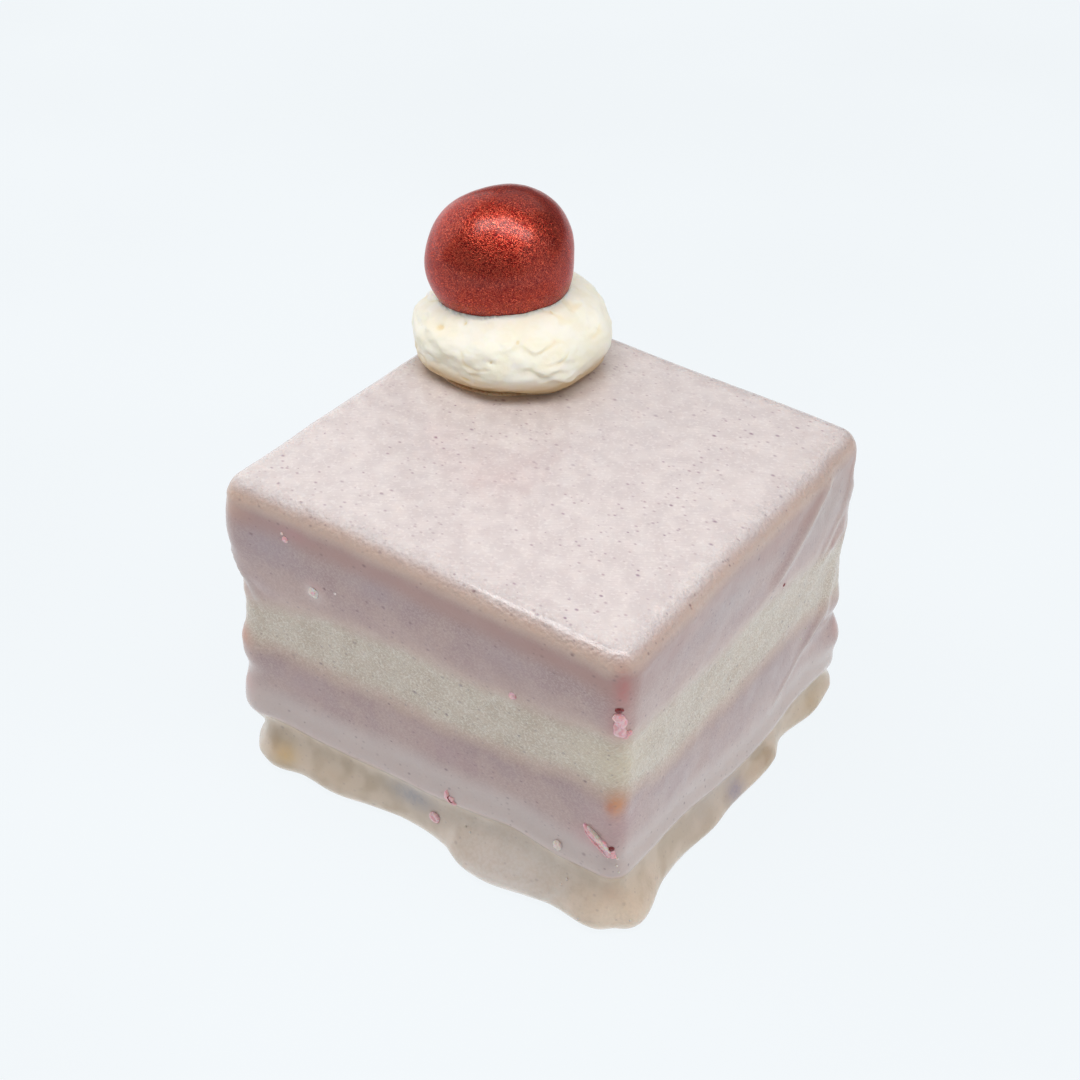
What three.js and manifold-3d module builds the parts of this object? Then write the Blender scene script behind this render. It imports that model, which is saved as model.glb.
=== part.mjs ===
// A small glazed berry cake: a cube cut from a layer cake, dipped in thin glaze that ran down and
// pooled round its base, with a cream dollop and a shimmering red ball near the back corner.
// Millimetres, +Z up. The origin is on the floor under the middle of the cake.
// The front face looks along -Y, the right face along +X, the back face along +Y.
import * as THREE from 'three';
import { mergeVertices } from 'three/addons/utils/BufferGeometryUtils.js';
import Module from 'manifold-3d';

// Driving dimensions of the cube.
const WIDTH = 41.2;
const DEPTH = 40.4;
const HEIGHT = 30.9;
const EDGE_RADIUS = 2.2;
const RIM_RADIUS = 1.9;
const LAYER_GAP = 0.06;

// The cream dollop and the ball on it.
const DOLLOP = { x: -12.2, y: 10.7, footprint: 6.8, equator: 9.4, equatorHeight: 2.9, height: 7.45 };
const BALL = { x: -13.8, y: 11.3, z: 40.8, radius: 7.15, up: 6.95, down: 6.5 };
const SEAT_GAP = 0.3;
const REST_GAP = 0.12;

// How finely the surfaces are faceted.
const STRAIGHT_STEPS = 19;
const CORNER_STEPS = 5;
const DOLLOP_STEPS = 40;
const BALL_STEPS = 32;
const BALL_LEVELS = 19;
const RIM_STEPS = 5;

const ROUND = 2 * (WIDTH + DEPTH);
const LEFT_CORNER = 0;
const FRONT_CORNER = WIDTH;
const RIGHT_CORNER = WIDTH + DEPTH;
const BACK_CORNER = 2 * WIDTH + DEPTH;

const bump = (distance, width) => Math.exp(-((distance / width) ** 2));
const mix = (a, b, share) => a + (b - a) * share;
const swell = (share) => (1 - Math.cos(Math.PI * share)) / 2;

// The shortest way along the edge from one place to another. Places are distances in mm round the
// cake's edge: 0 at the left corner, then along the front, the right, the back and the left face.
function alongEdge(from, to) {
  const way = (((to - from) % ROUND) + ROUND) % ROUND;
  return way > ROUND / 2 ? way - ROUND : way;
}

// A smooth closed curve through pairs of [place round the edge, value].
function roundTheEdge(knots) {
  const knot = (i) => {
    const turns = Math.floor(i / knots.length);
    const [place, value] = knots[i - turns * knots.length];
    return [place + turns * ROUND, value];
  };
  const slope = (i) => {
    const [before, low] = knot(i - 1);
    const [after, high] = knot(i + 1);
    return (high - low) / (after - before);
  };
  return (place) => {
    const s = (((place - knots[0][0]) % ROUND) + ROUND) % ROUND + knots[0][0];
    let i = 0;
    while (knot(i + 1)[0] <= s) i += 1;
    const [start, a] = knot(i);
    const [end, b] = knot(i + 1);
    const span = end - start;
    const t = (s - start) / span;
    const bend = slope(i) * span * (t - 1) + slope(i + 1) * span * t;
    return mix(a, b, t * t * (3 - 2 * t)) + t * (1 - t) * -bend;
  };
}

// Places on each face, by the coordinate that runs along it.
const front = (x) => WIDTH / 2 + x;
const right = (y) => WIDTH + DEPTH / 2 + y;
const back = (x) => WIDTH + DEPTH + WIDTH / 2 - x;
const left = (y) => 2 * WIDTH + DEPTH + DEPTH / 2 - y;

// The heights where one layer ends and the next begins, all round: the cut slopes and waves.
const lowerBerryTop = roundTheEdge([
  [front(-20.6), 14.2], [front(-10), 14.3], [front(0), 14.5], [front(11), 15.2], [front(20.6), 15.8],
  [right(-12), 14.2], [right(0), 13.9], [right(10), 13.7], [right(19), 12.2],
  [back(8), 13.0], [back(-8), 13.8], [back(-20.6), 13.3], [left(7), 14.0], [left(-8), 13.7],
]);
const middleSpongeTop = roundTheEdge([
  [front(-20.6), 18.9], [front(-12), 20.4], [front(-4), 21.3], [front(7), 21.6], [front(20.6), 22.2],
  [right(-6), 21.0], [right(4), 21.4], [right(13), 20.0], [right(19), 19.6],
  [back(8), 20.2], [back(-8), 20.8], [back(-20.6), 19.4], [left(7), 20.2], [left(-8), 19.4],
]);

// The soft ridge of glaze low on the side, the neck under it where the pooled glaze begins, and
// how far the pool reaches out from the cube in its lobes.
const ridgeHeight = roundTheEdge([
  [front(-20.6), 6.0], [front(-17.5), 6.5], [front(-12), 6.1], [front(-7.5), 6.1],
  [front(-3.5), 6.5], [front(1.5), 6.6], [front(6), 6.7], [front(9.5), 7.0], [front(14), 6.4],
  [front(20.6), 6.6], [right(-15), 6.0], [right(-9.5), 5.9], [right(-5), 5.0], [right(0), 4.3],
  [right(6), 4.3], [right(10), 4.8], [right(14), 4.4], [right(19.5), 3.5], [back(12), 4.8],
  [back(4), 5.8], [back(-5), 4.6], [back(-14), 5.6], [back(-20.6), 5.2], [left(11), 4.5],
  [left(1), 5.7], [left(-9), 5.2],
]);
const neckHeight = roundTheEdge([
  [front(-20.6), 3.0], [front(-17.5), 4.8], [front(-12), 4.9], [front(-7.5), 4.8],
  [front(-3.5), 4.9], [front(1.5), 5.0], [front(6), 5.5], [front(9.5), 5.9], [front(14), 5.3],
  [front(20.6), 5.4], [right(-15), 4.9], [right(-9.5), 4.7], [right(-5), 3.9], [right(0), 3.2],
  [right(6), 3.1], [right(10), 3.6], [right(14), 3.2], [right(19.5), 2.1], [back(12), 3.6],
  [back(4), 4.6], [back(-5), 3.5], [back(-14), 4.4], [back(-20.6), 3.9], [left(11), 3.3],
  [left(1), 4.5], [left(-9), 3.9],
]);
const footReach = roundTheEdge([
  [front(-20.6), 0.7], [front(-17), 1.8], [front(-14), 1.2], [front(-10), 1.3], [front(-6), 0.5],
  [front(-2), 0.0], [front(2.5), 0.5], [front(5), 1.6], [front(8), 1.8], [front(11.3), 1.1],
  [front(14), 0.6], [front(17.5), 0.8], [front(20.6), 0.2], [right(-17.5), 1.2], [right(-13), 0.2],
  [right(-9), 0.2], [right(-5), 0.7], [right(-1.5), 0.6], [right(3), 1.0], [right(6), 1.0],
  [right(8.8), 0.1], [right(14), 1.0], [right(20.2), 0.5], [back(15), 1.6], [back(9), 0.4],
  [back(2), 1.3], [back(-6), 0.2], [back(-14), 1.8], [back(-20.6), 0.6], [left(14), 1.0],
  [left(7), 0.1], [left(-1), 1.1], [left(-8), 0.2], [left(-14), 1.0],
]);
const lean = roundTheEdge([
  [front(-20.6), 0.6], [front(0), -0.2], [front(20.6), -0.9], [right(0), -0.1],
  [right(20.2), 0.3], [back(0), 0.1], [back(-20.6), 0.3], [left(0), 0.2],
]);

// Ripples of glaze that run round the upright corners: [height, how proud, half width].
const CORNER_RIPPLES = [
  {
    at: LEFT_CORNER,
    ripples: [
      [26.3, 0.68, 3.6], [20.4, -0.3, 1.1], [16.4, 0.1, 1.2], [14.2, 0.5, 1.3], [12.2, 0.42, 1.3],
      [7.7, 0.62, 1.9], [3.3, -0.3, 1.4],
    ],
  },
  { at: FRONT_CORNER, ripples: [[25.5, 0.15, 1.5], [12, -0.15, 2.5]] },
  {
    at: RIGHT_CORNER,
    ripples: [
      [27, -0.3, 2], [22.5, -0.4, 2.4], [16, -0.2, 1.8], [9.6, -0.55, 1.1], [6.6, 0.35, 1.2],
      [3.4, -0.35, 1.2],
    ],
  },
  { at: BACK_CORNER, ripples: [[25, 0.3, 2.2], [17, -0.3, 1.6], [11, 0.35, 1.6], [7, -0.25, 1.2]] },
];
const RIPPLE_SPREAD = 4.5;

// Long drips down the right face: [place round the edge, height] from top to bottom.
const DRIPS = [
  { path: [[right(13.2), 29], [right(8), 25.4], [right(3.8), 23]], proud: 0.28 },
  { path: [[right(18.2), 24.6], [right(17), 20.5], [right(14), 19]], proud: 0.25 },
  { path: [[right(16.8), 16.2], [right(15.4), 12.2], [right(12), 10.8]], proud: 0.2 },
  { path: [[back(0), 27], [back(4), 20], [back(5), 12]], proud: 0.25 },
  { path: [[left(6), 26], [left(3), 19], [left(4), 11]], proud: 0.22 },
];
const DRIP_WIDTH = 0.9;

const RIDGE_PROUD = 0.45;
const RIDGE_WIDTH = 1.1;
const NECK_DEPTH = 0.35;
const NECK_WIDTH = 0.8;
const SPONGE_RECESS = 0.22;
const SEAM_BLEND = 0.8;
const WALL_WAVE = 0.1;
const FOOT_WIDEST = 0.24;
const FOOT_FLARE = 0.8;
const FOOT_UNDERCUT = 0.5;

function distanceToPath(path, s, z) {
  let nearest = Infinity;
  for (let i = 1; i < path.length; i += 1) {
    const way = [alongEdge(path[i - 1][0], path[i][0]), path[i][1] - path[i - 1][1]];
    const here = [alongEdge(path[i - 1][0], s), z - path[i - 1][1]];
    const share = (way[0] * here[0] + way[1] * here[1]) / (way[0] ** 2 + way[1] ** 2);
    const t = Math.min(Math.max(share, 0), 1);
    nearest = Math.min(nearest, Math.hypot(here[0] - t * way[0], here[1] - t * way[1]));
  }
  return nearest;
}

// How far the glazed wall stands out from the plain cube at a place and height.
function wallOffset(s, z) {
  let offset = lean(s) * (1 - z / HEIGHT);
  offset += RIDGE_PROUD * bump(z - ridgeHeight(s), RIDGE_WIDTH);
  offset -= NECK_DEPTH * bump(z - neckHeight(s), NECK_WIDTH);
  const aboveLower = Math.tanh((z - lowerBerryTop(s)) / SEAM_BLEND);
  const aboveMiddle = Math.tanh((z - middleSpongeTop(s)) / SEAM_BLEND);
  offset -= SPONGE_RECESS * (aboveLower - aboveMiddle) / 2;
  for (const { at, ripples } of CORNER_RIPPLES) {
    const near = bump(alongEdge(at, s), RIPPLE_SPREAD);
    for (const [height, proud, width] of ripples) {
      offset += near * proud * bump(z - height, width);
    }
  }
  for (const { path, proud } of DRIPS) {
    offset += proud * bump(distanceToPath(path, s, z), DRIP_WIDTH);
  }
  offset += WALL_WAVE * Math.sin(s / 5.3 + z / 6.1) * Math.sin(z / 4.7 - s / 9.1);
  return offset;
}

// The whole side, wall and foot: below the neck the glaze flares out into its lobes.
function skinOffset(s, z) {
  const neck = neckHeight(s);
  if (z >= neck) return wallOffset(s, z);
  const widest = FOOT_WIDEST * neck;
  const reach = footReach(s);
  if (z < widest) return reach - FOOT_UNDERCUT * (1 - z / widest) ** 2;
  return mix(reach, wallOffset(s, neck), swell(((z - widest) / (neck - widest)) ** FOOT_FLARE));
}

// The top: a gently uneven plane that rolls off near its edges.
const TOP_CORNERS = { left: 0.35, front: -0.42, right: -0.77, back: 0.84 };
const TOP_ROLL = 0.15;
const TOP_ROLL_STARTS = 0.78;
const TOP_WAVE = 0.08;

function topHeight(x, y) {
  const across = x / WIDTH + 0.5;
  const away = y / DEPTH + 0.5;
  const near = mix(TOP_CORNERS.left, TOP_CORNERS.front, across);
  const far = mix(TOP_CORNERS.back, TOP_CORNERS.right, across);
  const reach = ((2 * x / WIDTH) ** 4 + (2 * y / DEPTH) ** 4) ** 0.25;
  const roll = Math.min(Math.max((reach - TOP_ROLL_STARTS) / (1 - TOP_ROLL_STARTS), 0), 1) ** 2;
  const wave = TOP_WAVE * Math.sin(x / 6.5 + 1) * Math.sin(y / 5.5);
  return HEIGHT + mix(near, far, away) + wave - TOP_ROLL * roll;
}

// A place round the cube's plan: where it is and which way it faces. The corners are rounded.
function edgeAt(s) {
  let place = ((s % ROUND) + ROUND) % ROUND;
  if (place < EDGE_RADIUS) place += ROUND;
  let face = 0;
  let start = 0;
  const length = () => (face % 2 ? DEPTH : WIDTH);
  while (place >= start + length() + EDGE_RADIUS) {
    start += length();
    face += 1;
  }
  const out = (face % 2 ? WIDTH : DEPTH) / 2;
  const turn = (face - 1) * Math.PI / 2;
  const normal = new THREE.Vector2(Math.cos(turn), Math.sin(turn));
  const along = new THREE.Vector2(-normal.y, normal.x);
  const past = place - start - (length() - EDGE_RADIUS);
  const bend = Math.max(past, 0) / (2 * EDGE_RADIUS) * Math.PI / 2;
  const way = new THREE.Vector2(Math.cos(turn + bend), Math.sin(turn + bend));
  const point = normal.multiplyScalar(out - EDGE_RADIUS);
  point.addScaledVector(along, length() / 2 - EDGE_RADIUS + Math.min(past, 0));
  point.addScaledVector(way, EDGE_RADIUS);
  return { x: point.x, y: point.y, nx: way.x, ny: way.y, s };
}

function edgePoints() {
  const points = [];
  let start = 0;
  for (const length of [WIDTH, DEPTH, WIDTH, DEPTH]) {
    const straight = length - 2 * EDGE_RADIUS;
    for (let i = 0; i < STRAIGHT_STEPS; i += 1) {
      points.push(edgeAt(start + EDGE_RADIUS + straight * i / STRAIGHT_STEPS));
    }
    start += length;
    for (let i = 0; i < CORNER_STEPS; i += 1) {
      points.push(edgeAt(start - EDGE_RADIUS + 2 * EDGE_RADIUS * i / CORNER_STEPS));
    }
  }
  return points;
}

const EDGE = edgePoints();

// One ring of the skin. heightAt gives its height at a place, and inset draws it in.
function skinRing(heightAt, inset = 0) {
  return EDGE.map(({ x, y, nx, ny, s }) => {
    const z = heightAt(s);
    const out = skinOffset(s, z) - inset;
    return [x + nx * out, y + ny * out, z];
  });
}

// A closed solid lofted through rings of points that all run anticlockwise, from its underside
// up. A ring of one point closes an end. A hoop joins its last ring to its first.
function loft(rings, hoop = false) {
  const positions = [];
  const starts = rings.map((ring) => {
    const first = positions.length / 3;
    ring.forEach((point) => positions.push(...point));
    return first;
  });
  const at = (ring, i) => starts[ring] + (i % rings[ring].length);
  const count = Math.max(...rings.map((ring) => ring.length));
  const index = [];
  const bands = hoop ? rings.length : rings.length - 1;
  for (let low = 0; low < bands; low += 1) {
    const high = (low + 1) % rings.length;
    for (let i = 0; i < count; i += 1) {
      if (rings[low].length > 1) index.push(at(low, i), at(low, i + 1), at(high, i + 1));
      if (rings[high].length > 1) index.push(at(low, i), at(high, i + 1), at(high, i));
    }
  }
  const geometry = new THREE.BufferGeometry();
  geometry.setAttribute('position', new THREE.Float32BufferAttribute(positions, 3));
  geometry.setIndex(index);
  return geometry;
}

const average = (heightAt) => EDGE.reduce((sum, { s }) => sum + heightAt(s), 0) / EDGE.length;

// A layer that runs through the cake between two seams. shares are the heights of its rings.
function layer(lowSeam, highSeam, shares) {
  const low = (s) => lowSeam(s) + LAYER_GAP / 2;
  const high = (s) => highSeam(s) - LAYER_GAP / 2;
  const rings = shares.map((share) => skinRing((s) => mix(low(s), high(s), share)));
  return loft([[[0, 0, average(low)]], ...rings, [[0, 0, average(high)]]]);
}

const evenly = (count) => Array.from({ length: count + 1 }, (_, i) => i / count);

// The seam under the glaze sheet follows the top, one rim radius below it.
const edgeTop = roundTheEdge(EDGE.map(({ x, y, s }) => [s, topHeight(x, y)]));
const sheetSeam = (s) => edgeTop(s) - RIM_RADIUS;

// The sheet of glaze on top, with its rounded rim. Rings inside the rim carry its soft waves.
const TOP_RING_SHARES = [0.87, 0.7, 0.4];

function topGlaze() {
  const underside = (s) => sheetSeam(s) + LAYER_GAP / 2;
  const rings = [skinRing(underside)];
  for (let i = 1; i <= RIM_STEPS; i += 1) {
    const angle = Math.PI / 2 * i / RIM_STEPS;
    const inset = RIM_RADIUS * (1 - Math.cos(angle));
    const drop = RIM_RADIUS * (1 - Math.sin(angle));
    rings.push(skinRing(sheetSeam, inset).map(([x, y]) => [x, y, topHeight(x, y) - drop]));
  }
  const rim = rings[RIM_STEPS];
  for (const share of TOP_RING_SHARES) {
    rings.push(rim.map(([x, y]) => [x * share, y * share, topHeight(x * share, y * share)]));
  }
  return loft([[[0, 0, average(underside)]], ...rings, [[0, 0, topHeight(0, 0)]]]);
}

// The plain sponge at the bottom fills the ring of pooled glaze. Both stop short of the layer
// above on straight spokes from the middle, so the three meet without crossing.
const BASE_SHARE = 0.93;
const FOOT_SHARE = 0.938;
const FOOT_RING_SHARES = [0, 0.12, 0.27, 0.45, 0.65, 0.85];

function spokeRing(share, heightShift) {
  const middle = average(neckHeight);
  return skinRing(neckHeight).map(([x, y, z]) => [
    x * share, y * share, mix(middle, z, share) + heightShift,
  ]);
}

function baseSponge() {
  const top = spokeRing(BASE_SHARE, -LAYER_GAP / 2);
  const bottom = top.map(([x, y]) => [x, y, 0]);
  return loft([[[0, 0, 0]], bottom, top, [[0, 0, average(neckHeight) - LAYER_GAP / 2]]]);
}

function glazeFoot() {
  const innerTop = spokeRing(FOOT_SHARE, -LAYER_GAP / 2);
  const innerBottom = innerTop.map(([x, y]) => [x, y, 0]);
  const rings = [innerBottom];
  for (const share of FOOT_RING_SHARES) {
    rings.push(skinRing((s) => neckHeight(s) * share));
  }
  rings.push(skinRing((s) => neckHeight(s) - LAYER_GAP / 2));
  rings.push(innerTop);
  return loft(rings, true);
}

const { Manifold, Mesh: ManifoldMesh } = await (async () => {
  const wasm = await Module();
  wasm.setup();
  return wasm;
})();

function toSolid(geometry) {
  const bare = geometry.clone();
  bare.deleteAttribute('normal');
  bare.deleteAttribute('uv');
  const merged = mergeVertices(bare, 1e-4);
  return new Manifold(new ManifoldMesh({
    numProp: 3,
    vertProperties: Float32Array.from(merged.attributes.position.array),
    triVerts: Uint32Array.from(merged.index.array),
  }));
}

function toGeometry(solid) {
  const mesh = solid.getMesh();
  const geometry = new THREE.BufferGeometry();
  geometry.setAttribute('position', new THREE.Float32BufferAttribute(mesh.vertProperties, 3));
  geometry.setIndex(Array.from(mesh.triVerts));
  return geometry;
}

// A torn flake of fruit: a thin strip with ragged, tapering ends, lying in the plane of x and z.
function flake(length, width, thickness) {
  const shape = new THREE.BoxGeometry(length, thickness, width, 4, 1, 1);
  const position = shape.attributes.position;
  for (let i = 0; i < position.count; i += 1) {
    const along = position.getX(i) / length;
    const ragged = 1 - 1.6 * along * along + 0.25 * Math.sin(9 * along + 1);
    position.setZ(i, position.getZ(i) * ragged + 0.12 * width * Math.sin(7 * along));
    position.setY(i, position.getY(i) * (1 - along * along));
  }
  return shape;
}

// Flakes stuck in the glaze, half sunk. Tilt is in degrees, from level, falling to the right.
const CORNER_FLAKE = { s: front(20.4), z: 23.8, length: 2.9, width: 0.75, thickness: 0.8, tilt: 77 };
const SIDE_STRIP = { s: front(18.5), z: 9.8, length: 4.3, width: 0.8, thickness: 0.8, tilt: 34 };
const SEAM_CHIP = { s: front(3.3), z: 6.8, length: 1.6, width: 0.7, thickness: 0.8, tilt: 38 };
const FOOT_CHIP = { s: front(1.2), z: 2.8, length: 1.2, width: 0.9, thickness: 0.9, tilt: 50 };

function flakeInGlaze({ s, z, length, width, thickness, tilt }) {
  const { x, y, nx, ny } = edgeAt(s);
  const out = skinOffset(s, z);
  const placed = flake(length, width, thickness);
  placed.rotateY(THREE.MathUtils.degToRad(tilt));
  placed.rotateZ(Math.atan2(ny, nx) + Math.PI / 2);
  placed.translate(x + nx * out, y + ny * out, z);
  return toSolid(placed);
}

function withFlakes(geometry, flakes) {
  const fused = flakes.reduce((solid, spot) => solid.add(flakeInGlaze(spot)), toSolid(geometry));
  return toGeometry(fused);
}

// The ball: an ellipsoid with soft flats, fuller above its middle than below.
const BALL_FLATS = [
  { azimuth: 153, elevation: 50, depth: 0.12, width: 0.6 },
  { azimuth: 35, elevation: -2, depth: 0.05, width: 0.4 },
  { azimuth: 203, elevation: 16, depth: 0.04, width: 0.4 },
  { azimuth: -60, elevation: 30, depth: 0.025, width: 0.5 },
  { azimuth: 100, elevation: -5, depth: 0.03, width: 0.5 },
];

function ballPoint(azimuth, elevation, grow) {
  const level = Math.cos(elevation);
  const way = [level * Math.cos(azimuth), level * Math.sin(azimuth), Math.sin(elevation)];
  let size = 1;
  for (const flat of BALL_FLATS) {
    const a = THREE.MathUtils.degToRad(flat.azimuth);
    const e = THREE.MathUtils.degToRad(flat.elevation);
    const facing = Math.cos(e) * (way[0] * Math.cos(a) + way[1] * Math.sin(a)) + way[2] * Math.sin(e);
    size -= flat.depth * bump(Math.acos(Math.min(Math.max(facing, -1), 1)), flat.width);
  }
  const tall = way[2] > 0 ? BALL.up : BALL.down;
  return [
    BALL.x + way[0] * (BALL.radius * size + grow),
    BALL.y + way[1] * (BALL.radius * size + grow),
    BALL.z + way[2] * (tall * size + grow),
  ];
}

function ball(grow = 0) {
  const rings = [];
  for (let j = 1; j < BALL_LEVELS; j += 1) {
    const elevation = -Math.PI / 2 + Math.PI * j / BALL_LEVELS;
    const ring = [];
    for (let i = 0; i < BALL_STEPS; i += 1) {
      ring.push(ballPoint(2 * Math.PI * i / BALL_STEPS, elevation, grow));
    }
    rings.push(ring);
  }
  const bottom = [ballPoint(0, -Math.PI / 2, grow)];
  const top = [ballPoint(0, Math.PI / 2, grow)];
  return loft([bottom, ...rings, top]);
}

// The dollop's outline, from its footprint out to its widest and over to its crown, as
// [radius, height] for a share of the way up.
const LUMPS = [
  { turns: 2, phase: 0.6, depth: 0.02 },
  { turns: 3, phase: 2.1, depth: 0.015 },
  { turns: 5, phase: 4.0, depth: 0.01 },
];

// The height on which the dollop rests: just over the top, level past the rounded rim.
function restHeight(x, y) {
  const flatX = WIDTH / 2 - RIM_RADIUS;
  const flatY = DEPTH / 2 - RIM_RADIUS;
  return topHeight(Math.max(x, -flatX), Math.min(y, flatY)) + REST_GAP;
}

const DOLLOP_TILT = 0.07;
const DOLLOP_HIGH_SIDE = 0.9;
const DOLLOP_WAVE = 0.16;
const DOLLOP_LEVELS = [-1, -0.75, -0.5, -0.25, 0, 0.12, 0.25, 0.4, 0.55, 0.7, 0.85];

function dollopPoint(azimuth, level) {
  const { footprint, equator, equatorHeight, height } = DOLLOP;
  let radius;
  let rise;
  if (level < 0) {
    const angle = Math.PI / 2 * (1 + level);
    radius = footprint + (equator - footprint) * Math.sin(angle);
    rise = equatorHeight * (1 - Math.cos(angle));
  } else {
    const angle = Math.PI / 2 * level;
    radius = equator * Math.cos(angle);
    rise = equatorHeight + (height - equatorHeight) * Math.sin(angle);
  }
  for (const { turns, phase, depth } of LUMPS) {
    radius *= 1 + depth * Math.cos(turns * azimuth + phase + 2 * level);
  }
  rise *= 1 + DOLLOP_TILT * Math.cos(azimuth - DOLLOP_HIGH_SIDE) * Math.min(radius / equator, 1);
  radius += DOLLOP_WAVE * Math.sin(3 * azimuth + 4 * level) * Math.sin(5 * azimuth - 5 * level);
  const x = DOLLOP.x + radius * Math.cos(azimuth);
  const y = DOLLOP.y + radius * Math.sin(azimuth);
  return [x, y, restHeight(x, y) + rise];
}

function creamDollop() {
  const ring = (level) => {
    const points = [];
    for (let i = 0; i < DOLLOP_STEPS; i += 1) {
      points.push(dollopPoint(2 * Math.PI * i / DOLLOP_STEPS, level));
    }
    return points;
  };
  const middle = [DOLLOP.x, DOLLOP.y, restHeight(DOLLOP.x, DOLLOP.y)];
  const underside = ring(-1).map(([x, y]) => {
    const halfX = (x + DOLLOP.x) / 2;
    const halfY = (y + DOLLOP.y) / 2;
    return [halfX, halfY, restHeight(halfX, halfY)];
  });
  const crown = [dollopPoint(0, 1)];
  const dome = loft([[middle], underside, ...DOLLOP_LEVELS.map(ring), crown]);
  return toGeometry(toSolid(dome).subtract(toSolid(ball(SEAT_GAP))));
}

function material(color, roughness, extra = {}) {
  return new THREE.MeshStandardMaterial({ color, roughness, metalness: 0, ...extra });
}

const BERRY = 0xad9a9a;
const SPONGE = 0xbbb1a4;

// Heights of the lower layer's rings, closer together round its overhanging ridge.
const LOWER_RING_SHARES = [0, 0.08, 0.17, 0.28, 0.42, 0.6, 0.8, 1];

function node(name, geometry, look) {
  geometry.computeVertexNormals();
  const mesh = new THREE.Mesh(geometry, look);
  mesh.name = name;
  return mesh;
}

const cake = new THREE.Group();
cake.name = 'berry_cake';
cake.add(node('base_sponge', baseSponge(), material(0xc9b48c, 0.9)));
cake.add(node('glaze_foot', withFlakes(glazeFoot(), [FOOT_CHIP]), material(0xc2ae98, 0.4)));
cake.add(node(
  'lower_berry_layer',
  withFlakes(layer(neckHeight, lowerBerryTop, LOWER_RING_SHARES), [SIDE_STRIP, SEAM_CHIP]),
  material(BERRY, 0.45),
));
cake.add(node('middle_sponge', layer(lowerBerryTop, middleSpongeTop, evenly(4)), material(SPONGE, 0.6)));
cake.add(node(
  'upper_berry_layer',
  withFlakes(layer(middleSpongeTop, sheetSeam, evenly(5)), [CORNER_FLAKE]),
  material(BERRY, 0.45),
));
cake.add(node('top_glaze', topGlaze(), material(0xd8cdca, 0.35)));
cake.add(node('cream_dollop', creamDollop(), material(0xf6f0e2, 0.6)));
cake.add(node('shimmer_ball', ball(), material(0x9c3b30, 0.35, { metalness: 0.6 })));

export default cake;
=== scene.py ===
import math
from types import SimpleNamespace

import bpy
import numpy as np
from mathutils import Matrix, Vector, noise


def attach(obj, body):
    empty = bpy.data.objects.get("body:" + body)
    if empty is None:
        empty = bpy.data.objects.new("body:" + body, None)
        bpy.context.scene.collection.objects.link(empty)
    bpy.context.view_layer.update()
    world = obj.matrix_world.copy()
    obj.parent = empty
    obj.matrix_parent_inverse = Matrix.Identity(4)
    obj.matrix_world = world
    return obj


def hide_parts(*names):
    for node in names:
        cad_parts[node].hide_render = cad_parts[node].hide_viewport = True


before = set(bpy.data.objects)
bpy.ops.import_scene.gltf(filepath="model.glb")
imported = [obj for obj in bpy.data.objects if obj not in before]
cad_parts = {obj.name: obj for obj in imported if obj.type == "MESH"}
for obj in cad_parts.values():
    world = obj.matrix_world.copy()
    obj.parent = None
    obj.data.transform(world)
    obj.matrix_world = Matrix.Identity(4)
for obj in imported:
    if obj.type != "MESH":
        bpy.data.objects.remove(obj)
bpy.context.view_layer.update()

MM = 0.001
UP = np.array([0.0, 0.0, 1.0])

# ---- sizes

WIDTH = 41.2
DEPTH = 40.4
HEIGHT = 30.9
EDGE_RADIUS = 2.2
RIM_RADIUS = 1.9
LAYER_GAP = 0.06
ROUND = 2 * (WIDTH + DEPTH)
LEFT_CORNER = 0
FRONT_CORNER = WIDTH
RIGHT_CORNER = WIDTH + DEPTH
BACK_CORNER = 2 * WIDTH + DEPTH

DOLLOP = SimpleNamespace(x=-12.2, y=10.7, footprint=6.8, equator=9.4, low=2.9, height=7.45)
BALL = SimpleNamespace(x=-13.8, y=11.3, z=40.8, radius=7.15, up=6.95, down=6.5)
REST_GAP = 0.12
SEAT_TOUCH = 0.04

COLUMNS = 480


def front(x):
    return WIDTH / 2 + x


def right(y):
    return WIDTH + DEPTH / 2 + y


def back(x):
    return RIGHT_CORNER + WIDTH / 2 - x


def left(y):
    return BACK_CORNER + DEPTH / 2 - y


def bump(distance, width):
    return np.exp(-((distance / width) ** 2))


def mix(a, b, share):
    return a + (b - a) * share


def swell(share):
    return (1 - np.cos(np.pi * share)) / 2


def full_turn(steps):
    return 2 * np.pi * np.arange(steps) / steps


def along_edge(start, end):
    """The shortest way along the cake's edge from one place to another."""
    way = np.mod(end - start, ROUND)
    return np.where(way > ROUND / 2, way - ROUND, way)


def on_faces(faces):
    """Rows given for the front, right, back and left face, with their places round the edge."""
    starts = (front, right, back, left)
    return [(start(row[0]), *row[1:]) for start, rows in zip(starts, faces) for row in rows]


def round_the_edge(faces, column=1):
    """A smooth closed curve through rows of (place on the face, value) on each face in turn."""
    knots = np.array(on_faces(faces), float)
    places, values = knots[:, 0], knots[:, column]
    before = np.roll(places, 1)
    before[0] -= ROUND
    after = np.roll(places, -1)
    after[-1] += ROUND
    slopes = (np.roll(values, -1) - np.roll(values, 1)) / (after - before)

    def value_at(place):
        s = np.mod(np.asarray(place, float) - places[0], ROUND) + places[0]
        i = np.searchsorted(places, s, side="right") - 1
        j = (i + 1) % len(places)
        span = after[i] - places[i]
        t = (s - places[i]) / span
        bend = slopes[i] * span * (t - 1) + slopes[j] * span * t
        return mix(values[i], values[j], t * t * (3 - 2 * t)) - t * (1 - t) * bend

    return value_at


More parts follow.
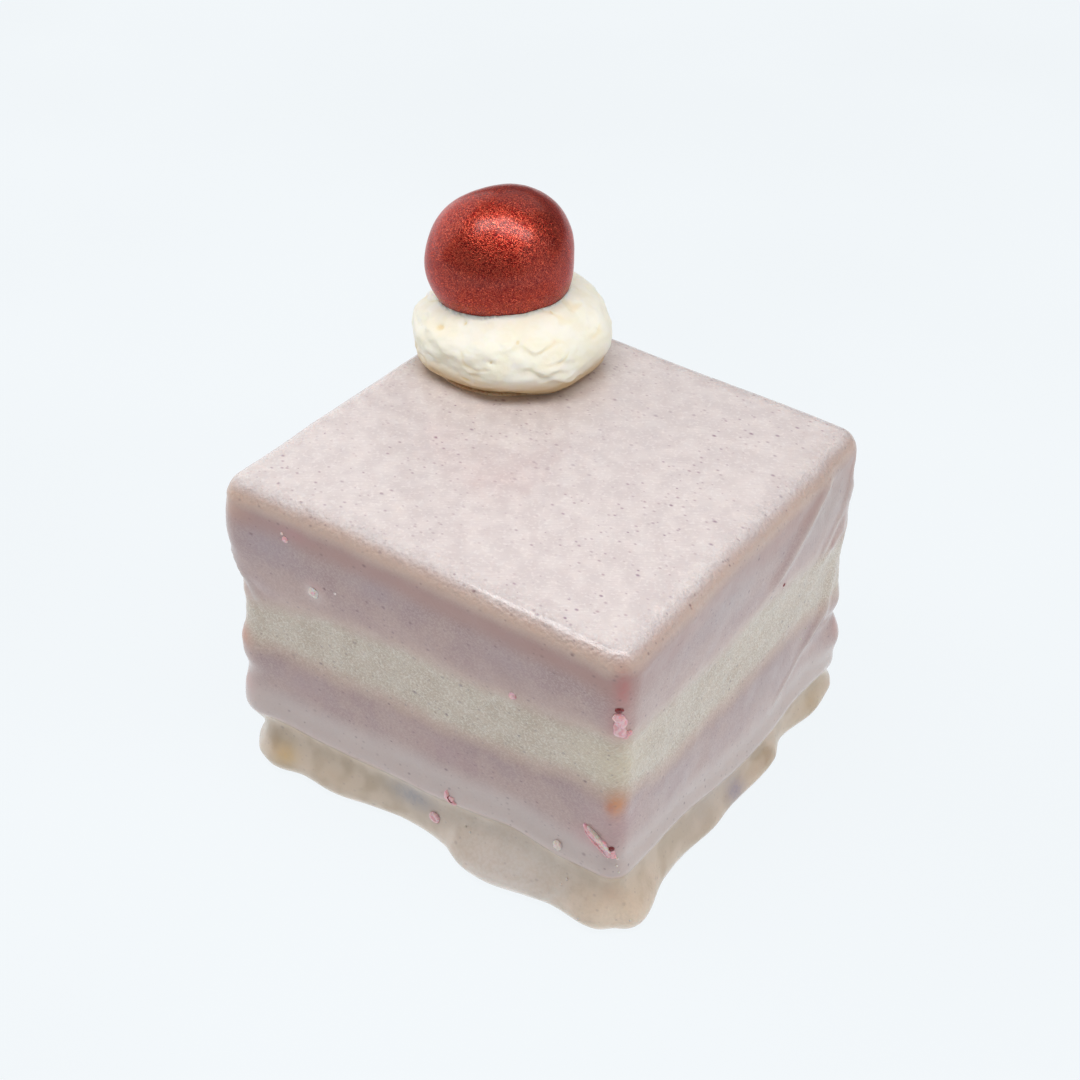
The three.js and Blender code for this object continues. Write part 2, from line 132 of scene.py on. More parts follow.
# Heights of the two seams between the layers at the side.
lower_berry_top = round_the_edge([
    [(-20.6, 14.2), (-10, 14.3), (0, 14.5), (11, 15.2), (20.6, 15.8)],
    [(-12, 14.2), (0, 13.9), (10, 13.7), (19, 12.2)],
    [(8, 13), (-8, 13.8), (-20.6, 13.3)],
    [(7, 14), (-8, 13.7)],
])
middle_sponge_top = round_the_edge([
    [(-20.6, 18.9), (-12, 20.4), (-4, 21.3), (7, 21.6), (20.6, 22.2)],
    [(-6, 21), (4, 21.4), (13, 20), (19, 19.6)],
    [(8, 20.2), (-8, 20.8), (-20.6, 19.4)],
    [(7, 20.2), (-8, 19.4)],
])
# The ridge over the foot and the neck below it: place, height of the ridge and of the neck.
RIDGE_AND_NECK = [
    [(-20.6, 6, 3), (-17.5, 6.5, 4.8), (-12, 6.1, 4.9), (-7.5, 6.1, 4.8), (-3.5, 6.5, 4.9),
    (1.5, 6.6, 5), (6, 6.7, 5.5), (9.5, 7, 5.9), (14, 6.4, 5.3), (20.6, 6.6, 5.4)],
    [(-15, 6, 4.9), (-9.5, 5.9, 4.7), (-5, 5, 3.9), (0, 4.3, 3.2), (6, 4.3, 3.1),
    (10, 4.8, 3.6), (14, 4.4, 3.2), (19.5, 3.5, 2.1)],
    [(12, 4.8, 3.6), (4, 5.8, 4.6), (-5, 4.6, 3.5), (-14, 5.6, 4.4), (-20.6, 5.2, 3.9)],
    [(11, 4.5, 3.3), (1, 5.7, 4.5), (-9, 5.2, 3.9)],
]
ridge_height = round_the_edge(RIDGE_AND_NECK, 1)
neck_height = round_the_edge(RIDGE_AND_NECK, 2)
# How far the pooled glaze reaches out past the plain cube.
foot_reach = round_the_edge([
    [(-20.6, 0.7), (-17, 1.8), (-14, 1.2), (-10, 1.3), (-6, 0.5), (-2, 0), (2.5, 0.5), (5, 1.6),
    (8, 1.8), (11.3, 1.1), (14, 0.6), (17.5, 0.8), (20.6, 0.2)],
    [(-17.5, 1.2), (-13, 0.2), (-9, 0.2), (-5, 0.7), (-1.5, 0.6), (3, 1), (6, 1), (8.8, 0.1),
    (14, 1), (20.2, 0.5)],
    [(15, 1.6), (9, 0.4), (2, 1.3), (-6, 0.2), (-14, 1.8), (-20.6, 0.6)],
    [(14, 1), (7, 0.1), (-1, 1.1), (-8, 0.2), (-14, 1)],
])
# How far the wall stands out at the floor, fading to nothing at the top.
lean = round_the_edge([
    [(-20.6, 0.6), (0, -0.2), (20.6, -0.9)],
    [(0, -0.1), (20.2, 0.3)],
    [(0, 0.1), (-20.6, 0.3)],
    [(0, 0.2)],
])

# Ripples of glaze that run round the upright corners: (height, how proud, half width).
CORNER_RIPPLES = [
    (LEFT_CORNER, [
        (26.3, 0.68, 3.6), (20.4, -0.3, 1.1), (16.4, 0.1, 1.2), (14.2, 0.5, 1.3),
        (12.2, 0.42, 1.3), (7.7, 0.62, 1.9), (3.3, -0.3, 1.4),
    ]),
    (FRONT_CORNER, [(25.5, 0.15, 1.5), (12, -0.15, 2.5)]),
    (RIGHT_CORNER, [
        (27, -0.3, 2), (22.5, -0.4, 2.4), (16, -0.2, 1.8), (9.6, -0.55, 1.1),
        (6.6, 0.35, 1.2), (3.4, -0.35, 1.2),
    ]),
    (BACK_CORNER, [(25, 0.3, 2.2), (17, -0.3, 1.6), (11, 0.35, 1.6), (7, -0.25, 1.2)]),
]
RIPPLE_SPREAD = 4.5

# Long drips: the face, places and heights on it from top to bottom, and how proud.
DRIPS = [
    (right, [(13.2, 29), (8, 25.4), (3.8, 23)], 0.28),
    (right, [(18.2, 24.6), (17, 20.5), (14, 19)], 0.25),
    (right, [(16.8, 16.2), (15.4, 12.2), (12, 10.8)], 0.2),
    (back, [(0, 27), (4, 20), (5, 12)], 0.25),
    (left, [(6, 26), (3, 19), (4, 11)], 0.22),
]
DRIP_WIDTH = 0.9

RIDGE_PROUD = 0.45
RIDGE_WIDTH = 1.1
NECK_DEPTH = 0.35
NECK_WIDTH = 0.8
SPONGE_RECESS = 0.22
SEAM_BLEND = 0.8
WALL_WAVE = 0.1
FOOT_WIDEST = 0.24
FOOT_FLARE = 0.8
FOOT_UNDERCUT = 0.5
BASE_SHARE = 0.938


def distance_to_path(face, path, s, z):
    nearest = np.full(np.broadcast(s, z).shape, np.inf)
    for (start, high), (end, low) in zip(path, path[1:]):
        way = (float(along_edge(face(start), face(end))), low - high)
        here = (along_edge(face(start), s), z - high)
        share = (way[0] * here[0] + way[1] * here[1]) / (way[0] ** 2 + way[1] ** 2)
        t = np.clip(share, 0, 1)
        nearest = np.minimum(nearest, np.hypot(here[0] - t * way[0], here[1] - t * way[1]))
    return nearest


def wall_offset(s, z):
    """How far the glazed wall stands out from the plain cube."""
    offset = lean(s) * (1 - z / HEIGHT)
    offset = offset + RIDGE_PROUD * bump(z - ridge_height(s), RIDGE_WIDTH)
    offset = offset - NECK_DEPTH * bump(z - neck_height(s), NECK_WIDTH)
    above_lower = np.tanh((z - lower_berry_top(s)) / SEAM_BLEND)
    above_middle = np.tanh((z - middle_sponge_top(s)) / SEAM_BLEND)
    offset = offset - SPONGE_RECESS * (above_lower - above_middle) / 2
    for corner, ripples in CORNER_RIPPLES:
        near = bump(along_edge(corner, s), RIPPLE_SPREAD)
        for height, proud, width in ripples:
            offset = offset + near * proud * bump(z - height, width)
    for face, path, proud in DRIPS:
        offset = offset + proud * bump(distance_to_path(face, path, s, z), DRIP_WIDTH)
    return offset + WALL_WAVE * np.sin(s / 5.3 + z / 6.1) * np.sin(z / 4.7 - s / 9.1)


def skin_offset(s, z):
    """The whole side: below the neck the glaze flares out into its lobes."""
    neck = neck_height(s)
    widest = FOOT_WIDEST * neck
    reach = foot_reach(s)
    low = np.clip(z / widest, 0, 1)
    under = reach - FOOT_UNDERCUT * (1 - low) ** 2
    share = np.clip((z - widest) / (neck - widest), 0, 1)
    flare = mix(reach, wall_offset(s, neck), swell(share ** FOOT_FLARE))
    return np.where(z >= neck, wall_offset(s, z), np.where(z < widest, under, flare))


# The top: a gently uneven plane that rolls off near its edges.
TOP_CORNERS = {"left": 0.35, "front": -0.42, "right": -0.77, "back": 0.84}
TOP_ROLL = 0.15
TOP_ROLL_STARTS = 0.78
TOP_WAVE = 0.08


def top_height(x, y):
    across = x / WIDTH + 0.5
    away = y / DEPTH + 0.5
    near = mix(TOP_CORNERS["left"], TOP_CORNERS["front"], across)
    far = mix(TOP_CORNERS["back"], TOP_CORNERS["right"], across)
    reach = ((2 * x / WIDTH) ** 4 + (2 * y / DEPTH) ** 4) ** 0.25
    roll = np.clip((reach - TOP_ROLL_STARTS) / (1 - TOP_ROLL_STARTS), 0, 1) ** 2
    wave = TOP_WAVE * np.sin(x / 6.5 + 1) * np.sin(y / 5.5)
    return HEIGHT + mix(near, far, away) + wave - TOP_ROLL * roll


def edge_at(s):
    """Where a place round the cube's plan is and which way it faces: x, y, nx, ny."""
    place = np.mod(np.asarray(s, float), ROUND)
    place = np.where(place < EDGE_RADIUS, place + ROUND, place)
    lengths = np.array([WIDTH, DEPTH, WIDTH, DEPTH])
    starts = np.array([0, WIDTH, WIDTH + DEPTH, 2 * WIDTH + DEPTH])
    face = np.clip(np.searchsorted(starts + lengths + EDGE_RADIUS, place, side="right"), 0, 3)
    length = lengths[face]
    out = np.where(face % 2 == 1, WIDTH, DEPTH) / 2
    turn = (face - 1) * np.pi / 2
    past = place - starts[face] - (length - EDGE_RADIUS)
    bend = np.maximum(past, 0) / (2 * EDGE_RADIUS) * np.pi / 2
    along = length / 2 - EDGE_RADIUS + np.minimum(past, 0)
    nx = np.cos(turn + bend)
    ny = np.sin(turn + bend)
    x = np.cos(turn) * (out - EDGE_RADIUS) - np.sin(turn) * along + nx * EDGE_RADIUS
    y = np.sin(turn) * (out - EDGE_RADIUS) + np.cos(turn) * along + ny * EDGE_RADIUS
    return x, y, nx, ny


def wall_point(s, z):
    """A point on the cake's side, the way the side faces there, and the level way along it."""
    x, y, nx, ny = map(float, edge_at(s))
    out = float(skin_offset(s, z))
    point = np.array([x + nx * out, y + ny * out, z])
    return point, np.array([nx, ny, 0.0]), np.array([-ny, nx, 0.0])


# ---- meshes

def linked(name, data):
    thing = bpy.data.objects.new(name, data)
    bpy.context.scene.collection.objects.link(thing)
    return thing


def add_mesh(name, points, faces, slot, material, **attributes):
    """A smooth shaded mesh that rides on the cake. points are in millimetres."""
    mesh = bpy.data.meshes.new(name)
    mesh.from_pydata((np.asarray(points, float) * MM).tolist(), [], faces)
    mesh.validate()
    mesh.polygons.foreach_set("use_smooth", [True] * len(mesh.polygons))
    for key, values in attributes.items():
        values = np.asarray(values, float)
        kind, field = ("FLOAT_COLOR", "color") if values.ndim == 2 else ("FLOAT", "value")
        layer = mesh.attributes.new(key, kind, "POINT")
        layer.data.foreach_set(field, values.ravel())
    mesh.materials.append(material)
    mesh.update()
    piece = linked(name, mesh)
    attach(piece, "root")
    return piece


def loft_faces(counts):
    """Faces between rings of equal size that run anticlockwise, from the underside up.
    A count of 1 is a point that closes an end."""
    starts = np.concatenate([[0], np.cumsum(counts)])
    faces = []
    for low in range(len(counts) - 1):
        a, b = starts[low], starts[low + 1]
        n = max(counts[low], counts[low + 1])
        for i in range(n):
            j = (i + 1) % n
            if counts[low] == 1:
                faces.append((a, b + j, b + i))
            elif counts[low + 1] == 1:
                faces.append((a + i, a + j, b))
            else:
                faces.append((a + i, a + j, b + j, b + i))
    return faces


def soft_noise(points, size, seed):
    """Smooth noise from about -1 to 1, with features of that size in millimetres."""
    shift = Vector((seed * 13.1, seed * 7.7, seed * 3.3))
    return np.array([noise.noise(Vector(point) / size + shift) for point in points])


def cloudy_noise(points, size, seed, octaves=3):
    """Noise with finer and fainter noise on it."""
    total = np.zeros(len(points))
    for octave in range(octaves):
        total += soft_noise(points, size / 2 ** octave, seed + octave) / 2 ** octave
    return total


def relief_on_body(points, facing_up, sponge):
    """Small unevenness of the set glaze, coarser where the sponge shows through it."""
    wave = 0.05 * soft_noise(points, 2.6, 1) + 0.02 * soft_noise(points, 0.9, 2)
    crumb = 0.045 * soft_noise(points, 0.75, 3)
    return wave * mix(1, 0.35, facing_up) + crumb * sponge


# Narrow bright runs of glaze, given likewise: the drips' crests and finer threads. They stand proud,
# and a pale tint along them is a painted highlight.
THREADS = [
    (right, [(13.4, 29.2), (8.2, 25.6), (4.2, 23.2)], 0.14),
    (right, [(18.6, 27.6), (16.8, 22.6), (13.6, 20.2)], 0.13),
    (right, [(19.6, 24.5), (18.6, 21.5), (18, 18)], 0.1),
    (right, [(17.4, 15.6), (15.6, 12.4), (11.6, 10.6), (6.5, 7.2)], 0.12),
    (front, [(-20.3, 23.6), (-19.3, 21.7), (-17.8, 19.4)], 0.16),
    (front, [(13, 0.6), (14.2, 1.8), (15.4, 3.2)], 0.1),
    (back, [(0.5, 26.6), (4.2, 19.8), (5.2, 12)], 0.12),
    (left, [(6.3, 25.6), (3.2, 18.8), (4.2, 11)], 0.11),
]
THREAD_WIDTH = 0.36
THREAD_PROUD = 0.16
STEADY_FOOT = 0.6
# Width of the warm glow painted round the cream's foot.
PAINTED_GLOW_WIDTH = 0.9

# Each berry layer is darkest under the layer above it, and pales over this height.
BERRY_FADE = 8
FULL_BELOW_RIM = 1.5
FULL_BELOW_SPONGE = 1
SEAM_HALF = 0.4

FOOT_STEPS = 14
WALL_STEPS = 86
RIM_STEPS = 12
TOP_STEPS = 46
TOP_CROWDING = 1.1


def body_rings(s):
    """Rings from the floor to the middle of the top, and how far each point lies past the seam."""
    x, y, nx, ny = edge_at(s)
    neck = neck_height(s)
    seam = top_height(x, y) - RIM_RADIUS
    heights = [neck * share for share in np.linspace(0, 1, FOOT_STEPS, endpoint=False)]
    heights += [mix(neck, seam, share) for share in np.linspace(0, 1, WALL_STEPS)]
    rings = []
    for z in heights:
        out = skin_offset(s, z)
        rings.append(np.stack([x + nx * out, y + ny * out, z], axis=1))
    rims = [z - seam for z in heights]
    sheet = skin_offset(s, seam)
    for angle in np.linspace(0, np.pi / 2, RIM_STEPS + 1)[1:]:
        out = sheet - RIM_RADIUS * (1 - np.cos(angle))
        px, py = x + nx * out, y + ny * out
        drop = RIM_RADIUS * (1 - np.sin(angle))
        rings.append(np.stack([px, py, top_height(px, py) - drop], axis=1))
        rims.append(np.full(COLUMNS, RIM_RADIUS * angle))
    rim = rings[-1]
    half = DEPTH / 2 - RIM_RADIUS
    for step in range(1, TOP_STEPS):
        share = 1 - (step / TOP_STEPS) ** TOP_CROWDING
        px, py = rim[:, 0] * share, rim[:, 1] * share
        rings.append(np.stack([px, py, top_height(px, py)], axis=1))
        rims.append(np.full(COLUMNS, RIM_RADIUS * np.pi / 2 + half * (1 - share)))
    return rings, rims


def hollow_rings(s):
    """The hollow underneath, round the base sponge."""
    x, y, nx, ny = edge_at(s)
    neck = neck_height(s)
    out = skin_offset(s, neck)
    seat = np.stack([x + nx * out, y + ny * out], axis=1) * BASE_SHARE
    ceiling = mix(neck.mean(), neck, BASE_SHARE) + LAYER_GAP / 2
    return [np.column_stack([seat, ceiling]), np.column_stack([seat, np.zeros(COLUMNS)])]


def bright_threads(around, z, rim_way):
    """How proud the threads stand, on the side alone."""
    thread = np.zeros(len(z))
    for face, path, proud in THREADS:
        away = distance_to_path(face, path, around, z)
        thread = np.maximum(thread, proud * bump(away, THREAD_WIDTH))
    return thread * ((rim_way < 0.5) & (rim_way > 0.5 - HEIGHT))


def berry_depth(above_lower, rim_way):
    """0 low in a berry layer, rising to 1 under the layer above it."""
    under_rim = np.clip((rim_way + BERRY_FADE) / (BERRY_FADE - FULL_BELOW_RIM), 0, 1)
    under_sponge = np.clip((above_lower + BERRY_FADE) / (BERRY_FADE - FULL_BELOW_SPONGE), 0, 1)
    return np.where(above_lower > 0, under_rim, under_sponge)


def past_seam(above):
    return np.clip((above + SEAM_HALF) / (2 * SEAM_HALF), 0, 1)


# Painted light: a warm pale glow on the top round the cream's foot, lifting the shade under its
# overhang.
def painted_glow_near_cream(points):
    from_dollop = np.hypot(points[:, 0] - DOLLOP.x, points[:, 1] - DOLLOP.y)
    on_top = points[:, 2] > HEIGHT - RIM_RADIUS
    return bump(from_dollop - DOLLOP.footprint, PAINTED_GLOW_WIDTH) * on_top


def glazed_body(material):
    s = np.arange(COLUMNS) * ROUND / COLUMNS
    rings, rims = body_rings(s)
    under = hollow_rings(s)
    ceiling = np.array([[0, 0, neck_height(s).mean() + LAYER_GAP / 2]])
    crown = np.array([[0, 0, float(top_height(0, 0))]])
    points = np.concatenate([ceiling] + under + rings + [crown])
    sides = len(under) + len(rings)

    # What the material reads, for every point: heights over the seams, and the way round the rim.
    fixed = 1 + len(under) * COLUMNS
    around = np.concatenate([[0], np.tile(s, sides), [0]])
    rim_way = np.concatenate([np.full(fixed, -HEIGHT)] + rims + [[HEIGHT]])
    z = points[:, 2]
    facing_up = np.clip(rim_way / (RIM_RADIUS * np.pi / 2), 0, 1)
    above_lower = z - lower_berry_top(around)
    above_middle = z - middle_sponge_top(around)
    sponge = past_seam(above_lower) * past_seam(-above_middle)
    thread = bright_threads(around, z, rim_way)
    by_cream = painted_glow_near_cream(points)

    # Relief stands out level on the wall and straight up on the top.
    lift = relief_on_body(points, facing_up, sponge) + thread
    lift[:fixed] = 0
    _, _, way_x, way_y = edge_at(around)
    way = np.column_stack([way_x * (1 - facing_up), way_y * (1 - facing_up), facing_up])
    steady = np.clip(z / STEADY_FOOT, 0, 1)
    points = points + way * (lift * steady)[:, None]

    piece = add_mesh(
        "glazed_body", points, loft_faces([1] + [COLUMNS] * sides + [1]), "top_glaze", material,
        above_lower=above_lower,
        above_middle=above_middle,
        above_ridge=z - ridge_height(around),
        rim_way=rim_way,
        sponge=sponge,
        deep=berry_depth(above_lower, rim_way),
        thread=thread / THREAD_PROUD,
        drift=cloudy_noise(points, 3.6, 21),
        cloud=cloudy_noise(points, 2.6, 31),
        mottle=cloudy_noise(points, 1.5, 41),
        wobble=0.5 * cloudy_noise(points, 3.2, 51),
        by_cream=by_cream,
        stain=stain_colours(points, around),
    )
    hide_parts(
        "glaze_foot", "lower_berry_layer", "middle_sponge", "upper_berry_layer", "top_glaze"
    )


def srgb(red, green, blue):
    """A colour as a screen shows it, in linear light."""
    def one(value):
        value = value / 255
        return value / 12.92 if value <= 0.04045 else ((value + 0.055) / 1.055) ** 2.4
    return (one(red), one(green), one(blue))


# Stains under the glaze, and a few patches of painted light and painted shade: place on the face,
# height, half widths along and up, colour, strength.
STAINS_AND_PAINTED_LIGHT = on_faces([
    # Painted light: the first patch on the next line, pale across the front foot, stands in for
    # light that the flared foot catches.
    [(9.5, 2.6, 7.4, 3.4, (240, 228, 220), 0.85), (20.8, 2, 4.2, 2.6, (246, 224, 201), 0.85),
    (20.2, 4, 2, 1, (226, 190, 160), 0.5), (0.6, 3.6, 2, 1.2, (226, 205, 186), 0.7),
    # Painted shade: the grey patch at -1.4 on the next line darkens the notch below the ridge.
    (-1.4, 3.9, 2.6, 1.2, (166, 160, 164), 0.85), (-15.6, 2.2, 1.3, 1, (232, 200, 146), 0.7),
    (-19.6, 1.4, 1.6, 1.2, (232, 216, 198), 0.5), (20.5, 27.4, 0.8, 1.4, (188, 88, 86), 0.9),
    (20.3, 26.2, 1.6, 2.4, (208, 160, 154), 0.5), (20.3, 23.6, 1.5, 1.6, (214, 152, 152), 0.5),
    (20.4, 19, 4.2, 2.4, (236, 222, 194), 0.6), (20.4, 14.6, 1.4, 1.5, (222, 148, 84), 0.98),
    (19.6, 14.4, 0.6, 0.6, (200, 112, 56), 0.7), (20.3, 12.2, 3.6, 2.4, (206, 166, 168), 0.55),
    (18.2, 9.6, 2.4, 1, (216, 158, 162), 0.5), (19.4, 9, 0.7, 0.45, (196, 84, 88), 0.8),
    (-10.7, 23.2, 0.9, 0.9, (238, 220, 216), 0.7), (-10.4, 24, 0.9, 0.6, (196, 140, 138), 0.4),
    (-12.4, 28.6, 1.5, 0.7, (192, 138, 136), 0.6), (-15.5, 26.4, 3.6, 2, (184, 168, 178), 0.45),
    (-13, 11.4, 2.6, 1.6, (180, 150, 156), 0.4), (-4, 26.4, 3.4, 1.4, (178, 158, 166), 0.4),
    (9, 25.6, 3.2, 1.8, (176, 152, 158), 0.4), (3, 11.8, 3.4, 1.4, (188, 150, 152), 0.4),
    (-20.3, 14.2, 1.3, 1.1, (220, 152, 124), 0.75), (-20.4, 20.4, 1, 1.3, (232, 188, 156), 0.65),
    (-20.2, 8.6, 1.2, 1.3, (212, 160, 154), 0.55), (-20, 29.2, 2.4, 1.4, (226, 188, 164), 0.5),
    (-20, 11, 1.6, 1.6, (222, 204, 200), 0.5)],
    [(-0.7, 1.6, 1.4, 1.1, (160, 148, 168), 0.8), (15, 1.9, 3, 1.5, (214, 192, 160), 0.6),
    (-5, 3, 4.6, 2, (208, 192, 180), 0.6), (18.8, 8, 1, 1.2, (206, 152, 142), 0.6),
    (19.4, 27.4, 1.6, 1.8, (216, 176, 160), 0.55), (12.8, 25.6, 4.6, 3.4, (180, 160, 154), 0.7),
    (5.7, 21.4, 0.3, 0.35, (190, 90, 112), 0.7), (15.2, 19.9, 0.4, 0.7, (168, 112, 112), 0.7),
    (-4, 26.4, 6, 2.8, (188, 176, 178), 0.5), (-15, 27.6, 3.4, 1.8, (184, 160, 160), 0.5),
    (4.4, 11.2, 4.6, 2.4, (176, 154, 154), 0.55), (-10.6, 10.8, 3.4, 1.8, (184, 162, 164), 0.45)],
    [(8, 9, 3, 1.4, (206, 164, 154), 0.35), (-9, 26, 4, 2.2, (184, 164, 170), 0.4)],
    [(6, 24, 1.4, 1.8, (204, 156, 152), 0.4), (-6, 10, 3.6, 1.8, (184, 160, 164), 0.4)],
])


def stain_colours(points, around):
    """The stains and the patches of painted light and painted shade, laid over one another. Alpha is
    how much they cover.
    """
    colour = np.zeros((len(points), 4))
    z = points[:, 2]
    on_side = z < HEIGHT - 0.6
    for place, height, wide, tall, shade, strength in STAINS_AND_PAINTED_LIGHT:
        reach = np.hypot(along_edge(place, around) / wide, (z - height) / tall)
        share = strength * bump(reach, 1) * on_side
        keep = colour[:, 3] * (1 - share)
        total = np.maximum(share + keep, 1e-6)
        for channel, value in enumerate(srgb(*shade)):
            colour[:, channel] = (value * share + colour[:, channel] * keep) / total
        colour[:, 3] = share + keep
    return colour


# ---- the ball and the cream

# Soft flats on the ball: azimuth and elevation in degrees, depth as a share, width in radians.
BALL_FLATS = [
    (153, 50, 0.12, 0.6), (35, -2, 0.05, 0.4), (203, 16, 0.04, 0.4), (-60, 30, 0.025, 0.5),
    (100, -5, 0.03, 0.5),
]


def ball_size(ways):
    size = np.ones(len(ways))
    for azimuth, elevation, depth, width in BALL_FLATS:
        a, e = math.radians(azimuth), math.radians(elevation)
        flat = np.array([math.cos(e) * math.cos(a), math.cos(e) * math.sin(a), math.sin(e)])
        angle = np.arccos(np.clip(ways @ flat, -1, 1))
        size -= depth * bump(angle, width)
    return size


def ball_surface(ways, grow=0):
    size = ball_size(ways)
    tall = np.where(ways[:, 2] > 0, BALL.up, BALL.down)
    return np.column_stack([
        BALL.x + ways[:, 0] * (BALL.radius * size + grow),
        BALL.y + ways[:, 1] * (BALL.radius * size + grow),
        BALL.z + ways[:, 2] * (tall * size + grow),
    ])


def shimmer_ball(material):
    steps, levels = 160, 96
    rings = []
    for level in range(levels + 1):
        elevation = -math.pi / 2 + math.pi * level / levels
        count = 1 if level in (0, levels) else steps
        azimuth = full_turn(count)
        flat = math.cos(elevation)
        rings.append(np.column_stack([
            flat * np.cos(azimuth), flat * np.sin(azimuth), np.full(count, math.sin(elevation)),
        ]))
    ways = np.concatenate(rings)
    points = ball_surface(ways)
    dents = 0.035 * soft_noise(points, 2.4, 5) + 0.014 * soft_noise(points, 0.9, 6)
    points = points + ways * dents[:, None]
    counts = [len(ring) for ring in rings]
    piece = add_mesh("shimmer_ball_skin", points, loft_faces(counts), "red_shimmer", material)
    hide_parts("shimmer_ball")


LUMPS = [(2, 0.6, 0.02), (3, 2.1, 0.015), (5, 4, 0.01)]
DOLLOP_TILT = 0.07
DOLLOP_HIGH_SIDE = 0.9
DOLLOP_WAVE = 0.16


def rest_height(x, y):
    flat_x = WIDTH / 2 - RIM_RADIUS
    flat_y = DEPTH / 2 - RIM_RADIUS
    return top_height(np.maximum(x, -flat_x), np.minimum(y, flat_y)) + REST_GAP


def dollop_point(azimuth, level):
    """The cream's skin: level -1 is its footprint, 0 its widest and 1 its crown."""
    low = np.pi / 2 * (1 + level)
    high = np.pi / 2 * level
    spread = DOLLOP.equator - DOLLOP.footprint
    radius = np.where(
        level < 0, DOLLOP.footprint + spread * np.sin(low), DOLLOP.equator * np.cos(high)
    )
    over = DOLLOP.height - DOLLOP.low
    rise = np.where(
        level < 0, DOLLOP.low * (1 - np.cos(low)), DOLLOP.low + over * np.sin(high)
    )
    for turns, phase, depth in LUMPS:
        radius = radius * (1 + depth * np.cos(turns * azimuth + phase + 2 * level))
    tilt = DOLLOP_TILT * np.cos(azimuth - DOLLOP_HIGH_SIDE)
    rise = rise * (1 + tilt * np.minimum(radius / DOLLOP.equator, 1))
    wave = np.sin(3 * azimuth + 4 * level) * np.sin(5 * azimuth - 5 * level)
    radius = radius + DOLLOP_WAVE * wave
    x = DOLLOP.x + radius * np.cos(azimuth)
    y = DOLLOP.y + radius * np.sin(azimuth)
    return np.stack([x, y, rest_height(x, y) + rise], axis=-1)


# Pits and creases in the cream: azimuth in degrees, level, half widths along and up, depth.
CREAM_PITS = [
    (-112, 0.36, 0.75, 0.28, 0.3), (-96, 0.5, 0.3, 0.2, 0.22), (-50, 0.42, 0.28, 0.22, 0.24),
    (-66, 0.2, 0.22, 0.18, 0.18), (-128, -0.1, 0.3, 0.26, 0.22), (-20, 0.75, 0.24, 0.2, 0.2),
    (-12, 0.6, 0.22, 0.2, 0.2), (-82, -0.2, 0.8, 0.2, 0.12), (60, 0.2, 0.5, 0.24, 0.2),
    (120, 0.1, 0.4, 0.25, 0.2), (180, 0.3, 0.5, 0.25, 0.2),
]
# Lips where one fold of cream lies over the next.
CREAM_LIPS = [
    (-24, -0.12, 2, 0.36, 0.62), (-36, 0.06, 1.5, 0.4, 0.4), (-44, 0.34, 2.4, 0.6, 0.36),
    (-100, 0.16, 2.2, 0.5, 0.24), (-125, 0.3, 1.8, 0.5, 0.3), (-60, -0.3, 2.2, 0.4, 0.26),
    (-80, 0.02, 1.6, 0.36, 0.2), (100, 0, 2.6, 0.5, 0.25), (170, -0.1, 2.4, 0.5, 0.25),
]


def level_height(level):
    """How far a level lies over the cream's widest ring."""
    return level * (DOLLOP.height - DOLLOP.low if level > 0 else DOLLOP.low)


def way_round_cream(azimuth, turn):
    return np.angle(np.exp(1j * (azimuth - math.radians(turn)))) * DOLLOP.equator


def cream_relief(azimuth, level):
    """How deep the pits and folds cut into one ring, and how much painted shade, dark yellow, lies
    in the pits.
    """
    depth = np.zeros(len(azimuth))
    painted_pit_shade = np.zeros(len(azimuth))
    high = level_height(level)
    for turn, at, wide, tall, deep in CREAM_PITS:
        rise = high - level_height(at)
        near = bump(np.hypot(way_round_cream(azimuth, turn) / wide, rise * 1.6 / tall), 1)
        depth += deep * near
        painted_pit_shade = np.maximum(painted_pit_shade, near)
    for turn, at, wide, tall, deep in CREAM_LIPS:
        way = way_round_cream(azimuth, turn)
        climb = 0.12 * way + 0.14 * np.sin(2.3 * way + turn)
        rise = (high - at * DOLLOP.height * 0.6 + climb) / tall
        fold = np.tanh(rise * 5) * np.exp(-np.abs(rise)) * bump(way, wide)
        depth -= deep * fold * 0.6
    return depth, painted_pit_shade


def ways_from(middle, points):
    """Unit vectors from the middle to the points, and how far away they are."""
    ways = points - middle
    far = np.linalg.norm(ways, axis=1)
    return ways / np.maximum(far, 1e-6)[:, None], far


def whipped(points):
    """How far whipping lifts each point of the cream, and where fine folds run."""
    stretched = points * np.array([0.7, 0.7, 1.5])
    lumps = 0.24 * soft_noise(stretched, 3, 8) + 0.16 * soft_noise(stretched, 1.5, 9)
    lumps += 0.1 * soft_noise(stretched, 0.8, 10) + 0.035 * soft_noise(points, 0.35, 11)
    patches = np.clip(soft_noise(points, 3.4, 13) * 3, 0, 1)
    folds = bump(soft_noise(stretched, 2.2, 12), 0.09) * patches
    return lumps - 0.1 * folds, folds


